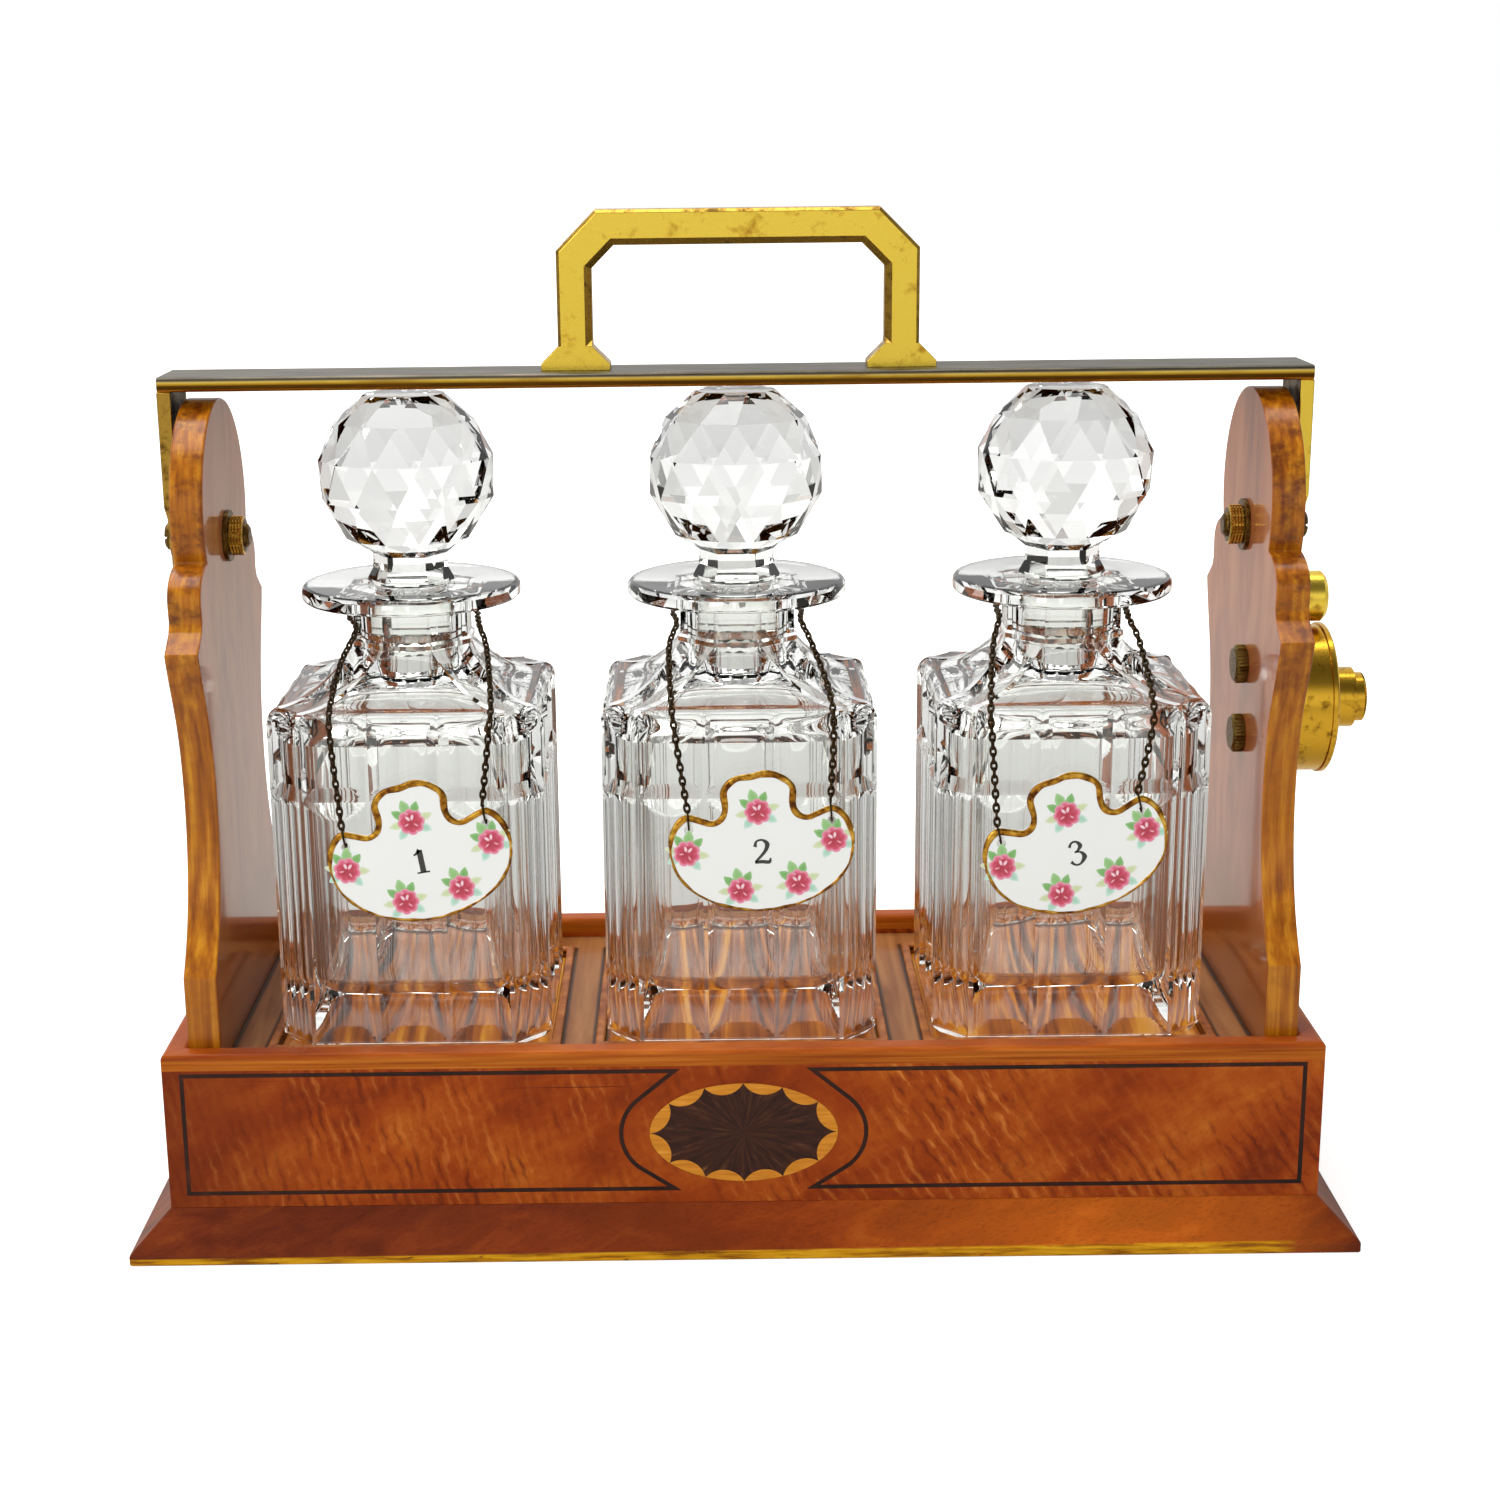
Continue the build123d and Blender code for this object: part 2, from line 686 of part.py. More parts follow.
def cap_profile():
    """The lock's turned cap: a step and a raised ring near its edge."""
    back = lock_face - lock_cap_t
    ring = lock_r - 2.2
    return [(back, lock_r), (lock_face - 0.6, lock_r), (lock_face, lock_r - 0.8),
            (lock_face, ring), (lock_face - 0.7, ring - 0.5), (lock_face - 0.7, ring - 1.6),
            (lock_face - 0.2, ring - 2.4)]


def lock_case():
    """The lock's round brass drum, open to the cap, with the bolt's hole in its top."""
    end = lock_face - lock_cap_t
    drum = rod(lock_r - lock_lip / 2, inner_l, end, 0, lock_z)
    drum -= rod(lock_r - lock_lip / 2 - lock_wall, inner_l + lock_back_t, end + 1, 0, lock_z)
    drum -= Pos(bolt_x, 0, lock_z + lock_r) * Cylinder(bolt_r + bolt_play, 4 * lock_wall)
    for z in (lock_z + lock_stud_up, lock_z - lock_stud_down):
        drum -= rod(lock_stud_r, inner_l - 1, inner_l + lock_back_t + 1, lock_stud_y, z)
    return drum


def lock_cap():
    """The turned cap with its bore for the sleeve."""
    return turned(cap_profile(), lock_z) - rod(sleeve_r, lock_face - 5, lock_face + 5, 0, lock_z)


def lock_sleeve():
    """The plain barrel that guides the plunger, flanged behind the cap."""
    back = lock_face - lock_cap_t
    tube = rod(sleeve_r, back, lock_face + sleeve_l, 0, lock_z)
    tube += rod(sleeve_flange_r, back - sleeve_flange_t, back, 0, lock_z)
    return tube - rod(plunger_r + plunger_play, back - 5, lock_face + sleeve_l + 1, 0, lock_z)


def lock_plunger():
    """The push piece: a milled end outside, a stop flange and a 45 degree ramp inside."""
    back = lock_face - lock_cap_t - sleeve_flange_t - plunger_stop
    end = lock_face + sleeve_l + plunger_out
    shank = turned([(back, plunger_r), (end - 0.8, plunger_r), (end, plunger_face_r)], lock_z)
    ramp_x = bolt_x - bolt_foot / 2 - ramp_lead
    low = lock_z - plunger_r
    start = lock_z + bolt_foot_z - ramp_play * math.sqrt(2) - ramp_lead
    rise = bolt_foot + ramp_lead + plunger_out
    wedge = make_face(Polyline(
        (ramp_x, low), (ramp_x, start), (ramp_x + rise, start + rise), (back, start + rise),
        (back, low), close=True))
    block = extrude(Plane.XZ.offset(-ramp_block_w / 2) * wedge, ramp_block_w)
    keyhole = rod(keyhole_r, end - keyhole_deep, end + 1, 0, lock_z)
    keyhole += box(end - keyhole_deep, end + 1, -keyhole_w / 2, keyhole_w / 2, lock_z - keyhole_h, lock_z)
    return shank + block - keyhole


def lock_bolt():
    """The bolt: a round pin on a foot whose underside slopes at 45 degrees."""
    low = lock_z + bolt_foot_z
    left = bolt_x - bolt_foot / 2
    right = bolt_x + bolt_foot / 2
    top = low + bolt_foot + bolt_foot_h
    side = make_face(Polyline((left, low), (right, low + bolt_foot), (right, top), (left, top), close=True))
    foot = extrude(Plane.XZ.offset(-bolt_foot_w / 2) * side, bolt_foot_w)
    pin_top = lock_z + lock_r - lock_lip / 2 - bolt_rest
    pin = Pos(bolt_x, 0, (top - 1 + pin_top) / 2) * Cylinder(bolt_r, pin_top - top + 1)
    return foot + pin


def lock_spring():
    """A bent leaf that pushes the plunger out, between the drum's back and the ramp block."""
    x0 = inner_l + lock_back_t
    x1 = bolt_x - bolt_foot / 2 - ramp_lead
    z = lock_z - plunger_r + spring_rise
    leaf = make_face(Polyline(
        (x1 - spring_t, z + spring_rise), (x0, z + spring_t), (x0, z - spring_t),
        (x1 - spring_t, z - spring_rise), (x1, z - spring_rise), (x0 + spring_t, z - spring_t),
        (x0 + spring_t, z + spring_t), (x1, z + spring_rise), close=True))
    return extrude(Plane.XZ.offset(-spring_w / 2) * leaf, spring_w)


def lock_lug():
    """The boss on the right strap's tail that the bolt rises into."""
    end = strap_out + lug_out
    boss = turned([(strap_out, tail_r), (end - lug_round, tail_r), (end, tail_r - lug_round)], tail_z)
    hole = Pos(bolt_x, 0, tail_z - tail_r + lug_hole_deep / 2 - 0.5) * Cylinder(
        bolt_r + bolt_play, lug_hole_deep + 1)
    return boss - hole


def pivot_screw(side):
    """A cheese-headed pivot screw whose domed end shows past its nut inside."""
    head = strap_out + strap_play
    end = standard_in - washer_t - nut_t
    solid = rod(screw_r, end, head, 0, pivot_z)
    solid += turned([(head, screw_head_r), (head + screw_head_t - 0.7, screw_head_r),
                     (head + screw_head_t, screw_head_r - 0.9)], pivot_z)
    solid -= box(head + screw_head_t - 1, head + screw_head_t + 1, -10, 10,
                 pivot_z - screw_slot / 2, pivot_z + screw_slot / 2)
    solid += turned([(end - screw_dome_t, screw_dome_r - 1.4), (end - screw_dome_t / 2, screw_dome_r - 0.3),
                     (end, screw_dome_r)], pivot_z)
    return solid if side > 0 else mirror(solid, Plane.YZ)


def pivot_spacer(side):
    """The washer that holds the strap clear of the standard."""
    solid = rod(washer_r, inner_l, strap_in - strap_play, 0, pivot_z)
    solid -= rod(screw_r + screw_play, inner_l - 1, strap_in + 1, 0, pivot_z)
    return solid if side > 0 else mirror(solid, Plane.YZ)


def pivot_washer(side):
    """The wide thin washer under the nut, inside the standard."""
    solid = rod(washer_r, standard_in - washer_t, standard_in, 0, pivot_z)
    solid -= rod(screw_r + screw_play, standard_in - 5, standard_in + 1, 0, pivot_z)
    return solid if side > 0 else mirror(solid, Plane.YZ)


def pivot_nut(side):
    """The grooved thumb nut, inside the standard."""
    out = standard_in - washer_t
    third = nut_t / 3
    profile = [(out - nut_t, nut_r - 0.5), (out - nut_t + 0.5, nut_r)]
    for k in (1, 2):
        x = out - nut_t + k * third
        profile += [(x - 0.3, nut_r), (x, nut_r - nut_groove), (x + 0.3, nut_r)]
    profile += [(out, nut_r)]
    solid = turned(profile, pivot_z)
    solid -= rod(screw_r, out - nut_t - 1, out + 1, 0, pivot_z)
    return solid if side > 0 else mirror(solid, Plane.YZ)


def lock_studs():
    """Two studs from the drum's back, through the standard, for the lock's nuts."""
    pair = []
    for z in (lock_z + lock_stud_up, lock_z - lock_stud_down):
        pair.append(rod(lock_stud_r, standard_in - lock_nut_t + 0.6, inner_l + lock_back_t, lock_stud_y, z))
    return pair


def lock_nuts():
    """Two round milled nuts inside the right standard."""
    pair = []
    out = standard_in
    for z in (lock_z + lock_stud_up, lock_z - lock_stud_down):
        nut = turned([(out - lock_nut_t, lock_nut_r - lock_nut_round),
                      (out - lock_nut_t + lock_nut_round, lock_nut_r), (out, lock_nut_r)], z)
        nut = Pos(0, lock_stud_y, 0) * nut
        pair.append(nut - rod(lock_stud_r, out - lock_nut_t - 1, out + 1, lock_stud_y, z))
    return pair


# ---------- plinth, case and tray ----------
plinth = four_sides(plinth_section, half_l + plinth_reach, half_d + plinth_reach,
                    plinth_reach + plinth_tuck)
for side_name, piece in plinth.items():
    put("plinth_" + side_name, piece)
base_l = half_l - plinth_tuck
base_d = half_d - plinth_tuck
put("base_board", box(-base_l, base_l, -base_d, base_d, 0, plinth_h))

boards = four_sides(wall_section, half_l, half_d, wall)
fan = Pos(0, oval_z) * scalloped_centre()
oval = Pos(0, oval_z) * Ellipse(oval_rx, oval_rz)
string_right = string_panel()
string_left = mirror(string_right, Plane.YZ)
boards["front"] -= inlay(oval)
boards["front"] -= inlay(string_right)
boards["front"] -= inlay(string_left)
for side_name, piece in boards.items():
    put("case_" + side_name, piece)
put("inlay_fan", inlay(fan))
put("inlay_scallops", inlay((Pos(0, oval_z) * Ellipse(oval_rx - 0.1, oval_rz - 0.1)) - fan))
put("inlay_strings", Compound(children=[inlay(string_left).solid(), inlay(string_right).solid()]))

tray_l = standard_in - wood_gap
tray_d = inner_d - wood_gap
put("floor_board", box(-tray_l, tray_l, -tray_d, tray_d, floor_z - floor_t, floor_z))
bearers = [
    box(-tray_l, tray_l, s * (inner_d - bearer_w / 2) - bearer_w / 2, s * (inner_d - bearer_w / 2) + bearer_w / 2,
        floor_z - floor_t - bearer_h, floor_z - floor_t)
    for s in (-1, 1)]
put("floor_bearers", Compound(children=bearers))

tray = box(-tray_l, tray_l, -tray_d, tray_d, floor_z, tray_z)
for x in well_centres:
    tray -= Pos(x, 0, tray_z) * Box(well_w, well_w, 4 * tray_t)
put("tray_board", tray)

glass = decanter()
plug = stopper()
for i in range(well_n):
    number = str(i + 1)
    x = well_centres[i]
    ring = extrude(Rectangle(well_w + 2 * bead_w, well_w + 2 * bead_w) - Rectangle(well_w, well_w), bead_h)
    ring = chamfer(ring.edges().filter_by(Plane.XY).group_by(Axis.Z)[-1], bead_round)
    put("well_bead_" + number, Pos(x, 0, tray_z) * ring)
    side = well_w - 2 * well_floor_gap
    put("well_floor_" + number, Pos(x, 0, floor_z + well_floor_t / 2) * Box(side, side, well_floor_t))
    put("decanter_" + number, Pos(x, 0, bottle_z) * glass)
    put("stopper_" + number, Pos(x, 0, lip_z) * plug)
    put("label_" + number, label(i))
    put("neck_chain_" + number, chain_loop(i))
    put("label_chain_" + number, Compound(children=[chain_strand(i, s).solid() for s in (-1, 1)]))

# ---------- standards and pivots ----------
for side_name, s in (("left", -1), ("right", 1)):
    put("standard_" + side_name, standard(s))
    put("strap_" + side_name, strap(s))
put("pivot_screws", Compound(children=[pivot_screw(s).solid() for s in (-1, 1)]))
put("pivot_spacers", Compound(children=[pivot_spacer(s).solid() for s in (-1, 1)]))
put("pivot_washers", Compound(children=[pivot_washer(s).solid() for s in (-1, 1)]))
put("pivot_nuts", Compound(children=[pivot_nut(s).solid() for s in (-1, 1)]))

# ---------- carrying bar and handle ----------
section = RectangleRounded(bar_w, bar_t, bar_round)
bar = extrude(Plane.YZ.offset(-bar_half) * Pos(0, bar_z + bar_t / 2) * section, 2 * bar_half)
screws = handle_screws()
bail = handle()
for screw in screws:
    bar -= screw
    bail -= screw
put("carrying_bar", bar)
put("handle", bail)
put("handle_screws", Compound(children=[s.solid() for s in screws]))

# ---------- push lock ----------
put("lock_case", lock_case())
put("lock_cap", lock_cap())
put("lock_sleeve", lock_sleeve())
put("lock_plunger", lock_plunger())
put("lock_bolt", lock_bolt())
put("lock_spring", lock_spring())
put("lock_lug", lock_lug())
put("lock_studs", Compound(children=[s.solid() for s in lock_studs()]))
put("lock_nuts", Compound(children=[s.solid() for s in lock_nuts()]))
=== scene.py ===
import math

import bmesh
import bpy
import numpy as np
from mathutils import Matrix, Vector


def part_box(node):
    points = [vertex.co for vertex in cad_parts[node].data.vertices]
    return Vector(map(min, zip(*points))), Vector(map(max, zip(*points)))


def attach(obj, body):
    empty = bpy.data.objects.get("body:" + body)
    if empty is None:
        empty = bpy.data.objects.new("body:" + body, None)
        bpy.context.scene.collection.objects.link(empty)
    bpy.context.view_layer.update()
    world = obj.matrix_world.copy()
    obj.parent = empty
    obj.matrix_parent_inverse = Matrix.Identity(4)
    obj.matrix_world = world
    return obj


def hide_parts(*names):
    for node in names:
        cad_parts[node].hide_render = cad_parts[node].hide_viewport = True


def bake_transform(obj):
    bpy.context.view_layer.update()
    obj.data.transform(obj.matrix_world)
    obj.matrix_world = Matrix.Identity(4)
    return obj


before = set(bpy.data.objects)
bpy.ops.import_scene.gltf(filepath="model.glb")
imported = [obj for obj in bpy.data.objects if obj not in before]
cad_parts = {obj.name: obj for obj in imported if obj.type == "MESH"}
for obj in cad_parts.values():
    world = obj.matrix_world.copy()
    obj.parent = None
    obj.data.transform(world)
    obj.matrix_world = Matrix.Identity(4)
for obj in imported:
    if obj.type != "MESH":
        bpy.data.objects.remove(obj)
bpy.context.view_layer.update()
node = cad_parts

# ---------- camera ----------
# The object is seen from in front and above its bar, a little left of its middle, with the
# camera turned by under a degree, so that the object's level lines rise slightly to the right.
camera_place = (-0.0099, -0.7753, 0.3523)
camera_pitch = math.radians(14.9)
camera_roll = math.radians(-0.65)
camera_lens = 57.8
middle_off = 41.8 / 1500

forward = Vector((0, math.cos(camera_pitch), -math.sin(camera_pitch)))
level_up = Vector((0, math.sin(camera_pitch), math.cos(camera_pitch)))
level_right = Vector((1, 0, 0))
right = math.cos(camera_roll) * level_right + math.sin(camera_roll) * level_up
up = math.cos(camera_roll) * level_up - math.sin(camera_roll) * level_right
camera = bpy.data.objects.new("camera", bpy.data.cameras.new("camera"))
bpy.context.scene.collection.objects.link(camera)
camera.matrix_world = Matrix.Translation(camera_place) @ Matrix((right, up, -forward)).transposed().to_4x4()
camera.data.lens = camera_lens
camera.data.sensor_width = 36.0
camera.data.shift_x = middle_off
camera.data.clip_start = 0.01
bpy.context.scene.camera = camera
bpy.context.scene.view_settings.view_transform = "Standard"


# ---------- studio ----------
# A white sweep under and behind the object, a dimmer room behind the camera that cut glass and
# brass mirror, one large soft lamp overhead and one from the front left.
def linear(hex_colour):
    """sRGB hex to linear RGBA: c / 12.92 in the darks, else ((c + 0.055) / 1.055) to the 2.4."""
    channels = [int(hex_colour[i:i + 2], 16) / 255 for i in (1, 3, 5)]
    return tuple(c / 12.92 if c <= 0.04045 else ((c + 0.055) / 1.055) ** 2.4 for c in channels) + (1.0,)


def add(tree, kind, inputs=None, stops=None, **settings):
    """Adds one node, sets its properties and inputs, and links each input that is given a socket."""
    made = tree.nodes.new("ShaderNode" + kind)
    for key, value in settings.items():
        setattr(made, key, value)
    for key, value in (inputs or {}).items():
        if isinstance(value, bpy.types.NodeSocket):
            tree.links.new(value, made.inputs[key])
        else:
            made.inputs[key].default_value = value
    if stops:
        points = made.color_ramp.elements
        while len(points) < len(stops):
            points.new(0.5)
        for point, (place, colour) in zip(points, stops):
            point.position = place
            point.color = linear(colour)
    return made


world = bpy.data.worlds.new("studio")
bpy.context.scene.world = world
world.use_nodes = True
sky = world.node_tree
sky.nodes.clear()
ray = add(sky, "LightPath").outputs
aim = add(sky, "TexCoord").outputs["Generated"]
towards = add(sky, "SeparateXYZ", {0: aim}).outputs
patches = add(sky, "TexNoise", {"Vector": aim, "Scale": 4.0, "Detail": 2.0, "Roughness": 0.6}).outputs["Fac"]
patches = add(sky, "MapRange", {0: patches, 1: 0.4, 2: 0.6, 3: 0.7, 4: 1.15}).outputs[0]
room = add(sky, "MapRange", {0: towards["Y"], 1: -0.5, 2: 0.75, 3: 0.2, 4: 0.9},
           interpolation_type="SMOOTHSTEP").outputs[0]
over = add(sky, "MapRange", {0: towards["Z"], 1: 0.1, 2: 0.9, 3: 1.0, 4: 0.8}).outputs[0]
room = add(sky, "Math", {0: room, 1: over}, operation="MULTIPLY").outputs[0]
room = add(sky, "Math", {0: room, 1: patches}, operation="MULTIPLY").outputs[0]
window = add(sky, "MapRange", {0: towards["Y"], 1: -0.8, 2: -0.95, 3: 0.0, 4: 0.75},
             interpolation_type="SMOOTHSTEP").outputs[0]
low = add(sky, "MapRange", {0: towards["Z"], 1: -0.16, 2: -0.06}, interpolation_type="SMOOTHSTEP").outputs[0]
window = add(sky, "Math", {0: window, 1: low}, operation="MULTIPLY").outputs[0]
window = add(sky, "Math", {0: window, 1: ray["Is Glossy Ray"]}, operation="MULTIPLY").outputs[0]
room = add(sky, "Math", {0: room, 1: window}, operation="ADD").outputs[0]
seen_through = add(sky, "MapRange", {0: towards["Y"], 1: -0.6, 2: 0.3, 3: 0.45, 4: 1.12},
                   interpolation_type="SMOOTHSTEP").outputs[0]
seen_through = add(sky, "Math", {0: seen_through, 1: patches}, operation="MULTIPLY").outputs[0]
room = add(sky, "Mix", {0: ray["Is Transmission Ray"], 2: room, 3: seen_through}, data_type="FLOAT").outputs[0]
mirrored = add(sky, "Math", {0: ray["Is Glossy Ray"], 1: ray["Is Transmission Ray"]}, operation="MAXIMUM").outputs[0]
soft = add(sky, "Mix", {0: mirrored, 2: 0.62, 3: room}, data_type="FLOAT").outputs[0]
level = add(sky, "Mix", {0: ray["Is Camera Ray"], 2: soft, 3: 1.0}, data_type="FLOAT").outputs[0]
backdrop = add(sky, "Background", {"Color": linear("#FFFFFF"), "Strength": level}).outputs[0]
add(sky, "OutputWorld", {"Surface": backdrop})

for lamp_name, place, size, power in (
        ("lamp_over", (-0.3, 0.25, 1.6), 1.5, 25.0),
        ("lamp_left", (-1.5, -1.5, 1.1), 1.1, 17.0)):
    lamp = bpy.data.objects.new(lamp_name, bpy.data.lights.new(lamp_name, "AREA"))
    bpy.context.scene.collection.objects.link(lamp)
    lamp.location = place
    lamp.rotation_euler = (Vector((0, 0, 0.15)) - lamp.location).to_track_quat("-Z", "Y").to_euler()
    lamp.data.size = size
    lamp.data.energy = power

floor_half = 6.0
floor_mesh = bpy.data.meshes.new("floor")
floor_mesh.from_pydata([(x * floor_half, y * floor_half, 0) for x, y in ((-1, -1), (1, -1), (1, 1), (-1, 1))],
                       [], [(0, 1, 2, 3)])
floor = bpy.data.objects.new("floor", floor_mesh)
bpy.context.scene.collection.objects.link(floor)
sweep = bpy.data.materials.new("white_sweep")
sweep.use_nodes = True
paper = sweep.node_tree
paper.nodes.clear()
away = add(paper, "VectorMath", {0: add(paper, "TexCoord").outputs["Object"]}, operation="LENGTH").outputs["Value"]
fade = add(paper, "MapRange", {0: away, 1: 0.2, 2: 0.6, 3: 0.6, 4: 1.0}, interpolation_type="SMOOTHSTEP").outputs[0]
ray = add(paper, "LightPath").outputs
mirrored = add(paper, "Math", {0: ray["Is Glossy Ray"], 1: ray["Is Transmission Ray"]},
               operation="SUBTRACT", use_clamp=True).outputs[0]
bright = add(paper, "Math", {0: mirrored, 1: 0.1}, operation="MULTIPLY").outputs[0]
far = add(paper, "MapRange", {0: away, 1: 0.45, 2: 1.2, 3: 0.05, 4: 0.6}).outputs[0]
bright = add(paper, "Math", {0: ray["Is Transmission Ray"], 1: far, 2: bright}, operation="MULTIPLY_ADD").outputs[0]
seen = add(paper, "Math", {0: ray["Is Camera Ray"], 1: bright}, operation="MAXIMUM").outputs[0]
glow = add(paper, "Math", {0: seen, 1: fade}, operation="MULTIPLY").outputs[0]
tone = add(paper, "Mix", {0: mirrored, 6: linear("#D2D2D0"), 7: linear("#C0BCB4")}, data_type="RGBA").outputs[2]
tone = add(paper, "Mix", {0: ray["Is Transmission Ray"], 6: tone, 7: linear("#B4B4B4")}, data_type="RGBA").outputs[2]
lit = add(paper, "BsdfDiffuse", {"Color": tone}).outputs[0]
shine = add(paper, "Emission", {"Color": linear("#FFFFFF"), "Strength": glow}).outputs[0]
add(paper, "OutputMaterial", {"Surface": add(paper, "AddShader", {0: lit, 1: shine}).outputs[0]})
floor_mesh.materials.append(sweep)


# ---------- plinth ----------
# Four mitred mouldings of dark, French-polished hardwood, glued round the bottom board. The
# slope is streaked and knocked, and the narrow upright edge keeps most of an old yellow finish.
def eased(name, ease, body):
    """A copy of a piece's solid whose sharp edges are rounded off by a small radius."""
    mesh = bmesh.new()
    mesh.from_mesh(node[name].data)
    bmesh.ops.remove_doubles(mesh, verts=mesh.verts, dist=2e-6)
    bmesh.ops.dissolve_limit(mesh, angle_limit=math.radians(0.6), verts=mesh.verts, edges=mesh.edges)
    made = bpy.data.meshes.new(name + "_eased")
    mesh.to_mesh(made)
    mesh.free()
    made.materials.clear()
    piece = bpy.data.objects.new(name + "_eased", made)
    bpy.context.scene.collection.objects.link(piece)
    bevel = piece.modifiers.new("ease", "BEVEL")
    bevel.width = ease
    bevel.segments = 2
    bevel.limit_method = "ANGLE"
    bevel.angle_limit = math.radians(28)
    bevel.use_clamp_overlap = True
    made.shade_smooth()
    made.set_sharp_from_angle(angle=math.radians(28))
    weighted = piece.modifiers.new("normals", "WEIGHTED_NORMAL")
    weighted.keep_sharp = True
    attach(piece, body)
    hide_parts(name)
    return piece


def new_material(name):
    """An empty material and its node tree."""
    material = bpy.data.materials.new(name)
    material.use_nodes = True
    material.node_tree.nodes.clear()
    return material, material.node_tree


def streaks(tree, mm, turn=(0, 0, 0), detail=5.0, rough=0.55, bend=0.0, shift=(0, 0, 0), sway=0.0, here=None):
    """Noise stretched to the given millimetres along X, Y and Z, after turning by degrees.

    sway makes its lines wavy: it moves them aside by about that many millimetres, every 6 mm or so.
    The place is the object's own, unless another one is given.
    """
    here = here or add(tree, "TexCoord").outputs["Object"]
    if sway:
        waves = add(tree, "TexNoise", {"Vector": here, "Scale": 160.0, "Detail": 1.0}).outputs["Color"]
        waves = add(tree, "VectorMath", {0: waves, 1: (0.5, 0.5, 0.5)}, operation="SUBTRACT").outputs[0]
        here = add(tree, "VectorMath", {0: waves, 1: (sway * 0.004,) * 3, 2: here}, operation="MULTIPLY_ADD").outputs[0]
    turned_by = add(tree, "Mapping", {"Vector": here, "Rotation": tuple(math.radians(a) for a in turn),
                                      "Location": shift}).outputs[0]
    scaled = add(tree, "Mapping", {"Vector": turned_by, "Scale": tuple(1000 / m for m in mm)}).outputs[0]
    return add(tree, "TexNoise", {"Vector": scaled, "Scale": 1.0, "Detail": detail, "Roughness": rough,
                                  "Distortion": bend}).outputs["Fac"]


def tinted(tree, amount, under, over, blend="MIX"):
    """One colour laid over another by an amount."""
    return add(tree, "Mix", {0: amount, 6: under, 7: over}, data_type="RGBA", blend_type=blend).outputs[2]


def french_polish(tree, colour, rough=0.36, coat=0.05, pores=None, shine=0.3):
    """Wood under shellac: a dull body colour beneath a thin clear coat that mirrors softly."""
    inputs = {"Base Color": colour, "Roughness": rough, "Specular IOR Level": 0.06, "Coat Weight": shine,
              "Coat Roughness": coat, "Coat IOR": 1.5}
    if pores is not None:
        inputs["Normal"] = add(tree, "Bump", {"Height": pores, "Strength": 0.12, "Distance": 0.0002}).outputs[0]
    skin = add(tree, "BsdfPrincipled", inputs).outputs[0]
    add(tree, "OutputMaterial", {"Surface": skin})


plinth_wood, tree = new_material("plinth_hardwood")
cloudy = streaks(tree, (90, 60, 60), detail=2.0)
grain = streaks(tree, (34, 9, 9), turn=(0, 24, 0), bend=0.8)
colour = add(tree, "ValToRGB", {0: grain}, stops=[
    (0.28, "#3F1508"), (0.47, "#7A300D"), (0.6, "#9A4712"), (0.74, "#B8661E")]).outputs[0]
shade = add(tree, "ValToRGB", {0: cloudy}, stops=[(0.36, "#7A5A4A"), (0.55, "#F0E4DA")]).outputs[0]
colour = tinted(tree, 0.75, colour, shade, "MULTIPLY")
along = add(tree, "SeparateXYZ", {0: add(tree, "TexCoord").outputs["Object"]}).outputs["X"]
warm = add(tree, "ValToRGB", {0: add(tree, "MapRange", {0: along, 1: -0.195, 2: 0.195}).outputs[0]}, stops=[
    (0.0, "#5A2412"), (0.3, "#7E3412"), (0.55, "#963E0C"), (0.8, "#D8701A"), (0.93, "#C0601A"),
    (1.0, "#5E2210")]).outputs[0]
colour = tinted(tree, 0.55, colour, warm)
fine = streaks(tree, (5.0, 0.6, 0.6), turn=(0, 24, 0), detail=3.0)
colour = tinted(tree, add(tree, "MapRange", {0: fine, 1: 0.5, 2: 0.75, 3: 0.0, 4: 0.35}).outputs[0],
                colour, linear("#2A0E06"))
height = add(tree, "SeparateXYZ", {0: add(tree, "TexCoord").outputs["Object"]}).outputs
chips = streaks(tree, (9, 9, 2.4), detail=6.0, rough=0.7)
rising = add(tree, "Math", {0: height["X"], 1: -0.005, 2: height["Z"]}, operation="MULTIPLY_ADD").outputs[0]
edge_z = add(tree, "MapRange", {0: rising, 1: 0.0030, 2: 0.0035, 3: 1.0, 4: 0.0}).outputs[0]
worn = add(tree, "MapRange", {0: chips, 1: 0.60, 2: 0.64, 3: 1.0, 4: 0.0}).outputs[0]
left_end = add(tree, "MapRange", {0: height["X"], 1: 0.168, 2: 0.175, 3: 1.0, 4: 0.0}).outputs[0]
yellow = add(tree, "Math", {0: edge_z, 1: worn}, operation="MULTIPLY").outputs[0]
yellow = add(tree, "Math", {0: yellow, 1: left_end}, operation="MULTIPLY").outputs[0]
gilt = add(tree, "ValToRGB", {0: streaks(tree, (14, 14, 1.2), detail=4.0)}, stops=[
    (0.35, "#8A5208"), (0.5, "#C4880C"), (0.68, "#DBA41C")]).outputs[0]
french_polish(tree, tinted(tree, yellow, colour, gilt), pores=fine, shine=0.12)
for side in ("front", "right", "back", "left"):
    eased("plinth_" + side, 0.0005, "case").data.materials.append(plinth_wood)

# ---------- bottom board ----------
# A bare softwood board let in between the mouldings; only its underside is ever seen.
board_wood, tree = new_material("bare_softwood")
grain = streaks(tree, (70, 4, 4), bend=0.5)
colour = add(tree, "ValToRGB", {0: grain}, stops=[(0.3, "#8A6238"), (0.5, "#B58B58"), (0.72, "#C9A470")]).outputs[0]
skin = add(tree, "BsdfPrincipled", {"Base Color": colour, "Roughness": 0.75}).outputs[0]
add(tree, "OutputMaterial", {"Surface": skin})
for name in ("base_board", "floor_board", "floor_bearers"):
    node[name].material_slots[0].material = board_wood

